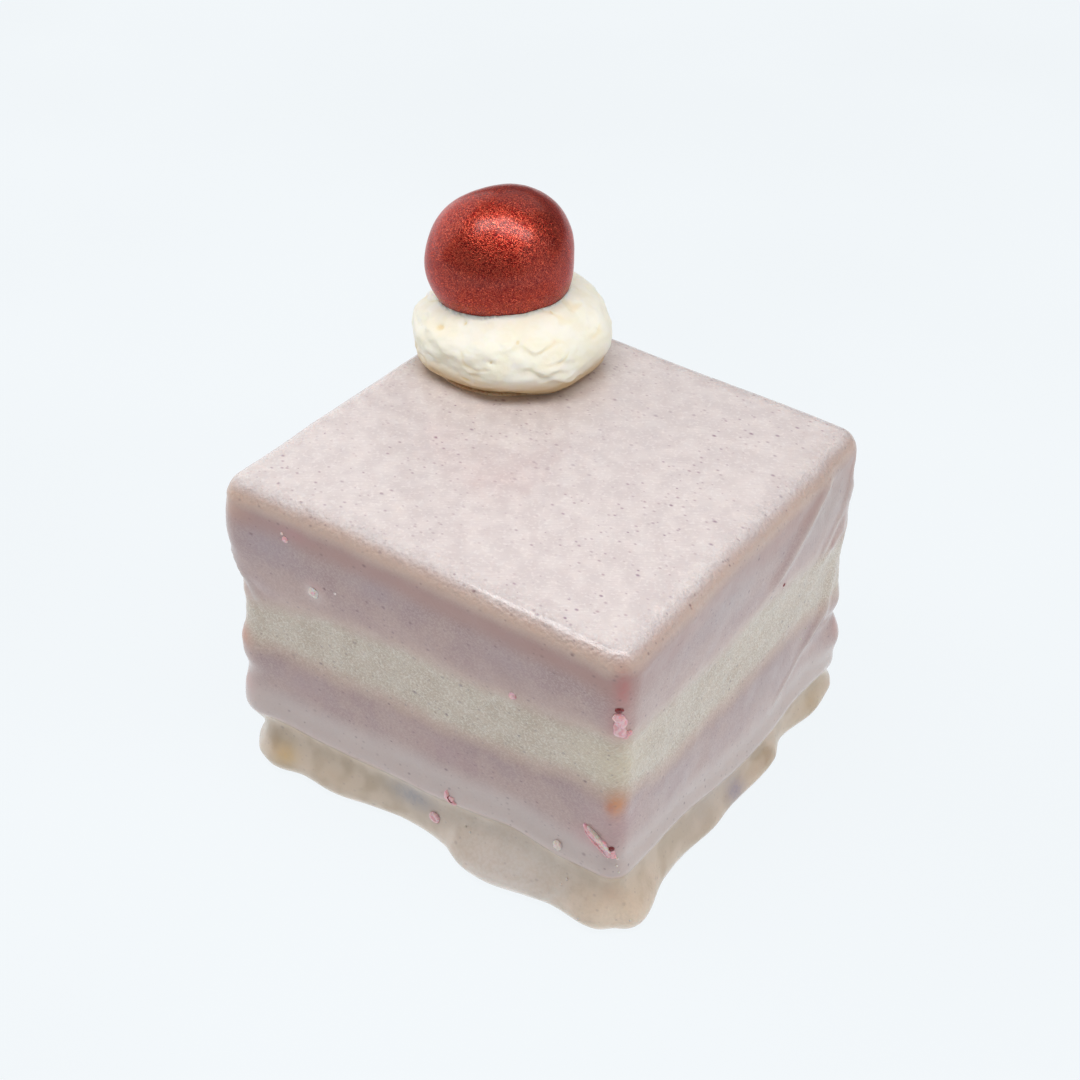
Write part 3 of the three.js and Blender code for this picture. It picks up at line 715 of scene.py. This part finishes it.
def cream_dollop(material):
    steps, levels = 300, 110
    azimuth = full_turn(steps)
    heart = np.array([DOLLOP.x, DOLLOP.y, HEIGHT + DOLLOP.low])
    rings, painted_pit_shades, painted_low_shades = [], [], []
    for level in np.linspace(-1, 0.97, levels):
        ring = dollop_point(azimuth, np.full(steps, level))
        depth, painted_pit_shade = cream_relief(azimuth, level)
        away, _ = ways_from(heart, ring)
        rings.append(ring - away * (depth * np.clip((level + 1) / 0.3, 0, 1))[:, None])
        painted_pit_shades.append(painted_pit_shade)
        painted_low_shades.append(np.full(steps, np.clip(-level, 0, 1)))
    crown = dollop_point(np.zeros(1), np.ones(1))
    bottom = np.array([[DOLLOP.x, DOLLOP.y, float(rest_height(DOLLOP.x, DOLLOP.y))]])
    points = np.concatenate([bottom] + rings + [crown])
    painted_pit_shades = np.concatenate([[0]] + painted_pit_shades + [[0]])
    painted_low_shades = np.concatenate([[1]] + painted_low_shades + [[0]])

    # Whipped unevenness, then the seat that the ball presses into it.
    away, _ = ways_from(heart, points)
    lumps, folds = whipped(points)
    floor_height = rest_height(points[:, 0], points[:, 1])
    free = np.clip((points[:, 2] - floor_height) / 1.2, 0, 1)
    points = points + away * (lumps * free)[:, None]
    centre = np.array([BALL.x, BALL.y, BALL.z])
    ways, far = ways_from(centre, points)
    seat = ball_surface(ways, SEAT_TOUCH)
    inside = far < np.linalg.norm(seat - centre, axis=1)
    points[inside] = seat[inside]
    points[:, 2] = np.maximum(points[:, 2], floor_height - 0.08)
    faces = loft_faces([1] + [steps] * levels + [1])
    piece = add_mesh(
        "cream_skin", points, faces, "whipped_cream", material, pit=painted_pit_shades, low=painted_low_shades, fold=folds
    )
    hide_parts("cream_dollop")


BEAD_LEVEL = -0.96
BEAD_THICK = 0.16
BEAD_WAVE = 0.07
BEAD_OUT = 0.35
BEAD_SPREAD = 2.2


def glaze_meniscus(material):
    """The thin bead of wet glaze where the cream meets the top."""
    steps, round_steps = 200, 8
    azimuth = full_turn(steps)
    foot = dollop_point(azimuth, np.full(steps, BEAD_LEVEL))
    away = np.column_stack([np.cos(azimuth), np.sin(azimuth)])
    thick = BEAD_THICK + BEAD_WAVE * np.sin(3 * azimuth + 1) * np.sin(7 * azimuth)
    points = []
    for turn in full_turn(round_steps):
        ring = np.empty((steps, 3))
        out = BEAD_OUT + BEAD_SPREAD * thick * np.cos(turn)
        ring[:, :2] = foot[:, :2] + away * out[:, None]
        base = rest_height(ring[:, 0], ring[:, 1]) - REST_GAP
        ring[:, 2] = base + thick * np.sin(turn)
        points.append(ring)
    points = np.stack(points, axis=1).reshape(-1, 3)
    faces = []
    for i in range(steps):
        for k in range(round_steps):
            j, m = (i + 1) % steps, (k + 1) % round_steps
            faces.append((
                i * round_steps + k, j * round_steps + k, j * round_steps + m, i * round_steps + m,
            ))
    add_mesh("glaze_meniscus", points, faces, "top_glaze", material)


# ---- fruit in the glaze

def shred(name, s, z, length, width, thick, tilt, material, seed, bend=0.1):
    """A torn strip of fruit that lies in the skin. Tilt is from level, falling to the right."""
    steps, round_steps = 44, 22
    angle = math.radians(tilt)
    v = full_turn(round_steps)
    rings = []
    for u in np.linspace(-1, 1, steps):
        way = u * length / 2
        centre, out, level = wall_point(s + way * math.cos(angle), z - way * math.sin(angle))
        across = level * math.sin(angle) + UP * math.cos(angle)
        body = max(1 - abs(u) ** 2.6, 0) ** 0.5
        ragged = 1 + 0.3 * noise.noise(Vector((u * 2.4, seed, 0))) + 0.12 * math.sin(9 * u + seed)
        half = width / 2 * (0.12 + 0.88 * body) * ragged
        sway = bend * length * (u * u - 0.3) + 0.1 * width * math.sin(5 * u + seed)
        side = np.sign(np.cos(v)) * np.abs(np.cos(v)) ** 0.8 * half + sway
        high = np.sin(v) * thick / 2 * (0.2 + 0.8 * body)
        ring = centre + side[:, None] * across + high[:, None] * out
        rough = soft_noise(ring, 0.5, seed) * 0.12 * thick
        rings.append(ring + rough[:, None] * out)
    points = np.concatenate([rings[0].mean(axis=0)[None], *rings, rings[-1].mean(axis=0)[None]])
    counts = [1] + [round_steps] * steps + [1]
    add_mesh(name, points, loft_faces(counts), "berry_cream", material)


def bead(name, s, z, size, proud, material, seed, tall=1):
    """A small drop, bubble or pulp of fruit that swells out of the side."""
    steps, levels = 28, 14
    middle, out, level = wall_point(s, z)
    v = full_turn(steps)
    rings = []
    for elevation in np.linspace(-math.pi / 2, math.pi / 2, levels + 1)[1:-1]:
        radius = size / 2 * math.cos(elevation)
        ring = middle + np.outer(radius * np.cos(v), level) + np.outer(radius * tall * np.sin(v), UP)
        ring = ring + out * proud * math.sin(elevation)
        rings.append(ring + soft_noise(ring, 0.4, seed)[:, None] * 0.1 * size * out)
    points = np.concatenate([(middle - out * proud)[None], *rings, (middle + out * proud)[None]])
    counts = [1] + [steps] * len(rings) + [1]
    add_mesh(name, points, loft_faces(counts), "berry_cream", material)


# Tiny beads of wet glaze: runs below the front corner and on the foot, and a few by the fruit.
WET_BEADS = on_faces([
    [(20.8, 7.6), (21, 7), (19.5, 8.4), (20.9, 8.3), (13.7, 1.4), (14, 1.9), (14.4, 2.4),
    (14.8, 3), (15.2, 3.6), (17.2, 1), (21.9, 1.5), (4.7, 3.9), (5.3, 3.7), (-13.6, 28.2),
    (-8.2, 24.2)],
    [(10.4, 12), (11.4, 12.6)],
])


def fruit_bits(flesh, dark, clear):
    shred("corner_flake", front(20.4), 23.7, 3, 1.05, 0.6, 77, flesh, 3, bend=0.04)
    shred("corner_flake_foot", front(21.3), 22.6, 1.2, 0.5, 0.5, 150, flesh, 5)
    # Painted shade: a dark bead stands in for the shade in the hole.
    bead("corner_hole", front(20.2), 25.45, 0.74, 0.1, dark, 2, 0.62)
    shred("side_strip", front(18.3), 9.8, 4.3, 0.84, 0.4, 35, flesh, 7, bend=0.01)
    shred("side_strip_ridge", front(18.5), 10.05, 3.7, 0.26, 0.72, 35, clear, 11, bend=0.01)
    shred("side_strip_edge", front(18.1), 9.5, 3.4, 0.22, 0.6, 35, flesh, 12, bend=0.01)
    shred("side_strip_end", front(20.2), 8.9, 1.1, 0.5, 0.5, 60, flesh, 9)
    # Painted shade: a dark bead in the hole and a dark strip under the side strip.
    bead("side_strip_hole", front(20), 9.5, 0.5, 0.16, dark, 6)
    shred("side_strip_shade", front(18.9), 9.05, 1.3, 0.34, 0.3, 30, dark, 8)
    shred("seam_chip", front(3.3), 6.8, 1.6, 0.66, 0.5, 38, flesh, 13)
    # Painted shade: a dark strip stands in for the shade in the chip's groove.
    shred("seam_chip_groove", front(3.4), 6.85, 0.9, 0.2, 0.54, 38, dark, 33)
    bead("foot_chip", front(1.2), 2.9, 1.25, 0.3, flesh, 14, 0.9)
    bead("pink_drop", front(9.9), 22, 0.72, 0.24, flesh, 16)
    bead("blister", front(-10.7), 23.2, 1.15, 0.14, clear, 17)
    bead("blister_heart", front(-10.6), 23.25, 0.5, 0.24, flesh, 27)
    bead("upper_chip", front(-13.3), 27.7, 0.66, 0.14, flesh, 18)
    bead("clear_bump", front(14.2), 7.2, 0.9, 0.26, clear, 20, 1.2)
    bead("right_seed", right(5.7), 21.4, 0.34, 0.1, dark, 21)
    for turn, (place, height) in enumerate(WET_BEADS):
        bead(f"wet_bead_{turn}", place, height, 0.24 + 0.06 * math.sin(5 * turn), 0.1, clear, turn)


# ---- materials

class Tree:
    """A material and short names for the nodes it is made of."""

    def __init__(self, name):
        self.material = bpy.data.materials.new(name)
        self.material.use_nodes = True
        self.nodes = self.material.node_tree.nodes
        self.links = self.material.node_tree.links
        self.shader = self.nodes["Principled BSDF"]

    def put(self, socket, value):
        if isinstance(value, bpy.types.NodeSocket):
            self.links.new(value, socket)
        elif value is not None:
            socket.default_value = value

    def fill(self, node, **values):
        """Links or sets the inputs of a node by their names."""
        for name, value in values.items():
            self.put(node.inputs[name.replace("_", " ")], value)

    def add(self, kind, **values):
        node = self.nodes.new("ShaderNode" + kind)
        self.fill(node, **values)
        return node

    def set(self, **values):
        self.fill(self.shader, **values)

    def place(self):
        """The object's own coordinates in millimetres."""
        scale = self.add("VectorMath")
        scale.operation = "MULTIPLY"
        self.links.new(self.add("TexCoord").outputs["Object"], scale.inputs[0])
        scale.inputs[1].default_value = [1 / MM] * 3
        return scale.outputs[0]

    def attribute(self, name, output="Fac"):
        node = self.add("Attribute")
        node.attribute_name = name
        return node.outputs[output]

    def math(self, operation, a, b=None):
        node = self.add("Math")
        node.operation = operation
        self.put(node.inputs[0], a)
        self.put(node.inputs[1], b)
        return node.outputs[0]

    def times(self, a, b):
        return self.math("MULTIPLY", a, b)

    def noise(self, place, size, detail=2, rough=0.5, twist=0):
        return self.add(
            "TexNoise", Vector=place, Scale=1 / size, Detail=detail, Roughness=rough,
            Distortion=twist,
        ).outputs["Fac"]

    def drawn_noise(self, place, azimuth, rise, across, length):
        """Noise drawn out along one direction, given in degrees."""
        turn = (0, math.radians(-rise), math.radians(azimuth))
        turned = self.add("Mapping", Vector=place, Rotation=turn, Scale=(length, across, across))
        turned.vector_type = "TEXTURE"
        return self.noise(turned.outputs[0], 1, 0)

    def smooth(self, value, low, high, start=0, end=1):
        node = self.add(
            "MapRange", Value=value, From_Min=low, From_Max=high, To_Min=start, To_Max=end
        )
        node.interpolation_type = "SMOOTHSTEP"
        return node.outputs["Result"]

    def bell(self, value, middle, width):
        """1 at the middle, falling to 0 a width away on each side."""
        away = self.math("ABSOLUTE", self.math("SUBTRACT", value, middle))
        return self.smooth(away, 0, width, 1, 0)

    def colour(self, share, a, b):
        node = self.add("Mix")
        node.data_type = "RGBA"
        self.put(node.inputs[0], share)
        self.put(node.inputs[6], self.rgb(a))
        self.put(node.inputs[7], self.rgb(b))
        return node.outputs[2]

    def tinted(self, base, share, strength, shade):
        """The base with that much of the shade mixed in."""
        return self.colour(self.times(share, strength), base, shade)

    @staticmethod
    def rgb(value):
        if isinstance(value, bpy.types.NodeSocket):
            return value
        return (*srgb(*value), 1)

    def specks(self, place, cell, radius, share):
        """Soft dots of about that radius in a share of cells of that size, some fainter."""
        node = self.add("TexVoronoi", Vector=place, Scale=1 / cell)
        split = self.add("SeparateColor", Color=node.outputs["Color"])
        chosen = self.math("LESS_THAN", split.outputs[0], share)
        size = self.times(self.smooth(split.outputs[1], 0, 1, 0.5, 1), radius / cell)
        edge = self.math("DIVIDE", node.outputs["Distance"], size)
        faint = self.smooth(split.outputs[2], 0, 1, 0.35, 1)
        return self.times(self.times(self.smooth(edge, 0.15, 1, 1, 0), chosen), faint)

    def bump(self, height, depth, before=None):
        """Micro relief of that depth in millimetres."""
        return self.add(
            "Bump", Strength=1, Distance=depth * MM, Height=height, Normal=before
        ).outputs["Normal"]


STREAK_AZIMUTH = 35
STREAK_WIDTH = 0.13


def streaks(tree, place):
    """Short pale fibres in three directions, and dark strokes where none of them runs."""
    level = tree.drawn_noise(place, STREAK_AZIMUTH, 0, STREAK_WIDTH, 1.2)
    rising = tree.drawn_noise(place, STREAK_AZIMUTH, 40, STREAK_WIDTH, 1)
    falling = tree.drawn_noise(place, STREAK_AZIMUTH, -40, STREAK_WIDTH, 1)
    most = tree.math("MAXIMUM", level, tree.math("MAXIMUM", rising, falling))
    least = tree.math("MINIMUM", level, tree.math("MINIMUM", rising, falling))
    return level, tree.smooth(most, 0.58, 0.73), tree.smooth(least, 0.38, 0.26)


def layers_colour(tree, drift, cloud, wobble, fibre, stroke):
    """Berry layers, darker and redder under the layer above, and the sponge between them."""
    pale = tree.colour(drift, (192, 162, 158), (200, 171, 164))
    dark = tree.colour(drift, (174, 144, 142), (184, 154, 148))
    berry = tree.colour(tree.attribute("deep"), pale, dark)
    berry = tree.tinted(berry, fibre, 0.22, (226, 205, 200))
    berry = tree.tinted(berry, stroke, 0.1, (146, 110, 116))
    sponge = tree.colour(cloud, (207, 189, 170), (216, 200, 182))
    sponge = tree.tinted(sponge, fibre, 0.52, (246, 239, 228))
    sponge = tree.tinted(sponge, stroke, 0.28, (172, 152, 132))
    above_lower = tree.math("ADD", tree.attribute("above_lower"), wobble)
    above_middle = tree.math("ADD", tree.attribute("above_middle"), wobble)
    below_top = tree.smooth(above_middle, -1.4, 1.2, 1, 0)
    in_sponge = tree.times(tree.smooth(above_lower, -1.2, 1.4), below_top)
    side = tree.colour(in_sponge, berry, sponge)
    seams = tree.math("ADD", tree.bell(above_lower, 0, 1.6), tree.bell(above_middle, 0.1, 1.6))
    return tree.tinted(side, seams, 0.3, (212, 178, 160))


def low_glaze_colour(tree, side, above_ridge, cloud, wobble):
    """The glaze is thick and pale on the ridge, with a painted highlight in that pale band, and
    pooled warm and cloudy at the foot.
    """
    below_wall = tree.smooth(above_ridge, 1.6, 4.4, 1, 0)
    thick_glaze_and_highlight = tree.times(tree.smooth(above_ridge, -0.8, 0.5), below_wall)
    # Partly painted highlight: the pale band on the ridge stands for thick glaze and for the light
    # along the ridge.
    side = tree.tinted(side, thick_glaze_and_highlight, 0.8, (214, 199, 194))
    foot = tree.colour(cloud, (203, 181, 156), (222, 202, 181))
    low = tree.math("ADD", above_ridge, tree.times(wobble, 0.5))
    return tree.colour(tree.smooth(low, -1.4, 0.1, 1, 0), side, foot)


def rim_and_top_colour(tree, side, rim, mottle, grain, level):
    """Round the rim: a reddish fringe, then a beige band, then the pale top, with a warm glow
    painted round the cream's foot.
    """
    side = tree.tinted(side, tree.bell(rim, -0.6, 2), 0.9, (181, 140, 131))
    top = tree.colour(mottle, (209, 198, 197), (218, 208, 206))
    top = tree.colour(tree.smooth(grain, 0.5, 0.74, 0, 0.4), top, (236, 229, 226))
    top = tree.colour(tree.smooth(level, 0.45, 0.25, 0, 0.3), top, (200, 186, 188))
    colour = tree.colour(tree.smooth(rim, 0.8, 2.4), side, top)
    colour = tree.tinted(colour, tree.bell(rim, 1, 1.25), 0.75, (216, 191, 175))
    # Painted light: the warm glow round the cream's foot lifts the shade under its overhang.
    return tree.tinted(colour, tree.attribute("by_cream"), 0.8, (248, 218, 190))


# Stains and the patches of painted light and painted shade, laid over the colour.
def stained(tree, colour, grain):
    cover = tree.attribute("stain", "Alpha")
    patchy = tree.times(cover, tree.smooth(grain, 0.3, 0.7, 0.85, 1.1))
    return tree.colour(patchy, colour, tree.attribute("stain", "Color"))


def specked(tree, place, colour, drift, above_ridge):
    """Fine dark specks of berry skin, drawn out a little along the streaks."""
    on_top = tree.smooth(tree.attribute("rim_way"), 1.8, 3)
    turn = (0, 0, math.radians(-STREAK_AZIMUTH))
    turned = tree.add("Mapping", Vector=place, Rotation=turn, Scale=(0.7, 1, 1)).outputs[0]
    fine = tree.specks(turned, 0.52, 0.18, 0.65)
    bold = tree.specks(turned, 0.9, 0.25, tree.smooth(drift, 0, 1, 0.12, 0.5))
    over_foot = tree.smooth(above_ridge, -1, 1, 0.45, 1)
    clear = tree.times(over_foot, tree.smooth(on_top, 0, 1, 0.85, 1))
    fine_shade = tree.colour(on_top, (122, 90, 100), (140, 94, 122))
    bold_shade = tree.colour(on_top, (104, 58, 74), (118, 66, 104))
    colour = tree.tinted(colour, tree.times(fine, clear), 0.58, fine_shade)
    return tree.tinted(colour, tree.times(bold, clear), 0.75, bold_shade)


def glaze_relief(tree, place, fibre, grain, rim):
    normal = tree.bump(tree.times(fibre, tree.attribute("sponge")), 0.018)
    normal = tree.bump(grain, 0.02, normal)
    ripple = tree.times(tree.noise(place, 0.42, 2), tree.bell(rim, 2.2, 2.6))
    return tree.bump(ripple, 0.24, normal)


def glaze_material():
    """Thin satin glaze: the layers' colours show softly through it, pooled thick at the foot."""
    tree = Tree("berry_glaze")
    place = tree.place()
    drift = tree.smooth(tree.attribute("drift"), -0.4, 0.4)
    cloud = tree.smooth(tree.attribute("cloud"), -0.4, 0.4)
    mottle = tree.smooth(tree.attribute("mottle"), -0.5, 0.5)
    wobble = tree.attribute("wobble")
    above_ridge = tree.attribute("above_ridge")
    rim = tree.math("ADD", tree.attribute("rim_way"), tree.times(wobble, 0.35))
    grain = tree.noise(place, 0.3, 1)
    level, fibre, stroke = streaks(tree, place)
    colour = layers_colour(tree, drift, cloud, wobble, fibre, stroke)
    colour = low_glaze_colour(tree, colour, above_ridge, cloud, wobble)
    colour = rim_and_top_colour(tree, colour, rim, mottle, grain, level)
    colour = stained(tree, colour, grain)
    colour = specked(tree, place, colour, drift, above_ridge)
    # Painted highlight: a pale tint along the threads stands in for their glints.
    colour = tree.tinted(colour, tree.attribute("thread"), 0.42, (232, 226, 222))
    tree.set(
        Base_Color=colour, Normal=glaze_relief(tree, place, fibre, grain, rim), IOR=1.46,
        Subsurface_Weight=0.35, Subsurface_Scale=0.7 * MM, Coat_Weight=0.7, Coat_Roughness=0.1,
        Roughness=tree.smooth(mottle, 0, 1, 0.34, 0.44), Subsurface_Radius=(1, 0.72, 0.6),
    )
    return tree.material


def sponge_material():
    """The bare underside of the base sponge: open golden crumb."""
    tree = Tree("base_crumb")
    place = tree.place()
    cells = tree.noise(place, 0.9, 4, 0.6)
    cloud = tree.smooth(tree.noise(place, 2.4, 3), 0.35, 0.65)
    crumb = tree.colour(cloud, (204, 178, 132), (222, 198, 154))
    crumb = tree.tinted(crumb, tree.smooth(cells, 0.4, 0.3), 0.7, (164, 132, 88))
    tree.set(
        Base_Color=crumb, Normal=tree.bump(cells, 0.3), Roughness=0.9, Subsurface_Weight=0.1,
        Subsurface_Scale=MM,
    )
    return tree.material


def cream_material():
    """Whipped cream, with painted shade, darker and yellower, low down and in its folds and pits."""
    tree = Tree("whipped_cream_look")
    place = tree.place()
    # Painted shade: darker and yellower low down, under the cream's bulge.
    low = tree.smooth(tree.attribute("low"), 0, 0.5, 0, 0.85)
    # Painted shade: darker yellow in the folds and pits.
    fold = tree.smooth(tree.attribute("fold"), 0.2, 1, 0, 0.35)
    pit = tree.smooth(tree.attribute("pit"), 0.35, 1, 0, 0.75)
    soft = tree.smooth(tree.noise(place, 2.2, 3), 0.35, 0.65)
    colour = tree.colour(soft, (250, 243, 224), (253, 248, 234))
    colour = tree.tinted(colour, tree.specks(place, 1.5, 0.16, 0.25), 0.35, (222, 196, 150))
    colour = tree.colour(low, colour, (214, 180, 124))
    colour = tree.colour(fold, colour, (240, 222, 180))
    colour = tree.colour(pit, colour, (238, 216, 158))
    normal = tree.bump(tree.noise(place, 0.5, 4, 0.6), 0.05)
    normal = tree.bump(tree.noise(place, 0.16, 2), 0.01, normal)
    tree.set(
        Base_Color=colour, Normal=normal, Roughness=0.5, IOR=1.42, Subsurface_Weight=0.5,
        Subsurface_Scale=MM, Subsurface_Radius=(1, 0.85, 0.6),
    )
    return tree.material


def shimmer_material():
    """Red pearl dust rubbed over a smooth coating: curly metallic grain, paler where it is thin."""
    tree = Tree("red_pearl")
    place = tree.place()
    curls = tree.noise(place, 0.29, 1, 0.6, 2.4)
    grain = tree.bell(curls, 0.5, 0.055)
    cloud = tree.noise(place, 2.6, 3, 0.6)
    worn = tree.smooth(tree.noise(place, 4.5, 4, 0.65), 0.54, 0.72, 0, 0.5)
    colour = tree.colour(grain, (124, 6, 3), (248, 112, 82))
    colour = tree.colour(tree.smooth(cloud, 0.42, 0.68, 0, 0.14), colour, (190, 84, 62))
    colour = tree.tinted(colour, worn, grain, (226, 160, 150))
    tree.set(
        Base_Color=colour, Normal=tree.bump(curls, 0.06), Metallic=0.9, Coat_Weight=0.6,
        Coat_Roughness=0.22, Coat_IOR=1.5, Roughness=tree.smooth(cloud, 0.3, 0.7, 0.27, 0.34),
        Specular_Tint=tree.rgb((230, 122, 102)),
    )
    return tree.material


def fruit_material(name, deep, pale, wet):
    tree = Tree(name)
    place = tree.place()
    streak = tree.noise(place, 0.55, 3, 0.6, 0.8)
    colour = tree.colour(tree.smooth(streak, 0.38, 0.6), deep, pale)
    normal = tree.bump(streak, 0.05)
    tree.set(
        Base_Color=colour, Normal=normal, Roughness=wet, IOR=1.45, Subsurface_Weight=0.3,
        Subsurface_Scale=0.4 * MM, Coat_Weight=0.3, Coat_Roughness=0.15,
    )
    return tree.material


def floor_material():
    """A bright matt sweep that nearly loses its shadow."""
    tree = Tree("pale_floor")
    cloud = tree.smooth(tree.noise(tree.place(), 90, 2), 0.3, 0.7)
    tree.set(
        Base_Color=(0.05, 0.05, 0.052, 1), Roughness=1, Emission_Strength=0.955,
        Emission_Color=tree.colour(cloud, (241, 246, 249), (243, 248, 251)),
        Specular_IOR_Level=0,
    )
    return tree.material


# ---- the scene

def floor():
    half, below = 1.5, -0.00003
    mesh = bpy.data.meshes.new("floor")
    corners = [(-half, -half), (half, -half), (half, half), (-half, half)]
    mesh.from_pydata([(x, y, below) for x, y in corners], [], [(0, 1, 2, 3)])
    mesh.materials.append(floor_material())
    piece = linked("floor", mesh)


def soft_box(name, place, size, power, colour):
    light = bpy.data.lights.new(name, "AREA")
    light.shape = "RECTANGLE"
    light.size, light.size_y = size
    light.energy = power
    light.color = colour
    lamp = linked(name, light)
    lamp.location = place
    lamp.rotation_euler = (Vector((0, 0, 0.02)) - Vector(place)).to_track_quat("-Z", "Y").to_euler()
    return lamp


SOFT_WHITE = (1, 0.985, 0.975)
WARM_WHITE = (1, 0.98, 0.96)


def lights():
    world = bpy.data.worlds.new("studio")
    world.use_nodes = True
    background = world.node_tree.nodes["Background"]
    background.inputs["Color"].default_value = (0.98, 0.99, 1, 1)
    background.inputs["Strength"].default_value = 0.23
    bpy.context.scene.world = world
    overhead = soft_box("overhead", (0.026, -0.014, 0.15), (0.172, 0.044), 0.142, SOFT_WHITE)
    overhead.rotation_euler = (0, 0, math.radians(25))
    soft_box("back_top", (-0.08, 0.33, 0.4), (0.36, 0.36), 0.26, SOFT_WHITE)
    soft_box("right_fill", (0.42, 0.02, 0.2), (0.4, 0.4), 0.19, WARM_WHITE)
    soft_box("left_fill", (-0.4, 0.04, 0.2), (0.6, 0.5), 1, WARM_WHITE)


def camera():
    eye = Vector((64.47, -93.97, 106.19)) * MM
    target = Vector((-1.444, 0, 20.33)) * MM
    lens = bpy.data.cameras.new("camera")
    lens.lens = 52.12
    lens.sensor_width = 36
    lens.clip_start = 0.005
    lens.clip_end = 20
    holder = linked("camera", lens)
    holder.location = eye
    holder.rotation_euler = (target - eye).to_track_quat("-Z", "Y").to_euler()
    bpy.context.scene.camera = holder


def dress():
    glazed_body(glaze_material())
    cream_dollop(cream_material())
    shimmer_ball(shimmer_material())
    clear = fruit_material("clear_glaze", (228, 210, 200), (240, 226, 219), 0.12)
    # Painted shade: the bead's warm tan stands in for the brown contact shade where the cream meets
    # the top.
    glaze_meniscus(fruit_material("painted_contact_shade_bead", (232, 186, 142), (250, 216, 180), 0.14))
    fruit_bits(
        fruit_material("fruit_flesh", (236, 172, 177), (248, 208, 212), 0.25),
        # Dark red for the seed, and painted shade in the holes, the groove and under the side strip.
        fruit_material("fruit_dark_and_painted_shade", (118, 32, 34), (150, 58, 60), 0.3),
        clear,
    )
    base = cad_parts["base_sponge"]
    base.material_slots[0].material = sponge_material()


dress()
floor()
lights()
camera()
bpy.context.scene.view_settings.view_transform = "Standard"
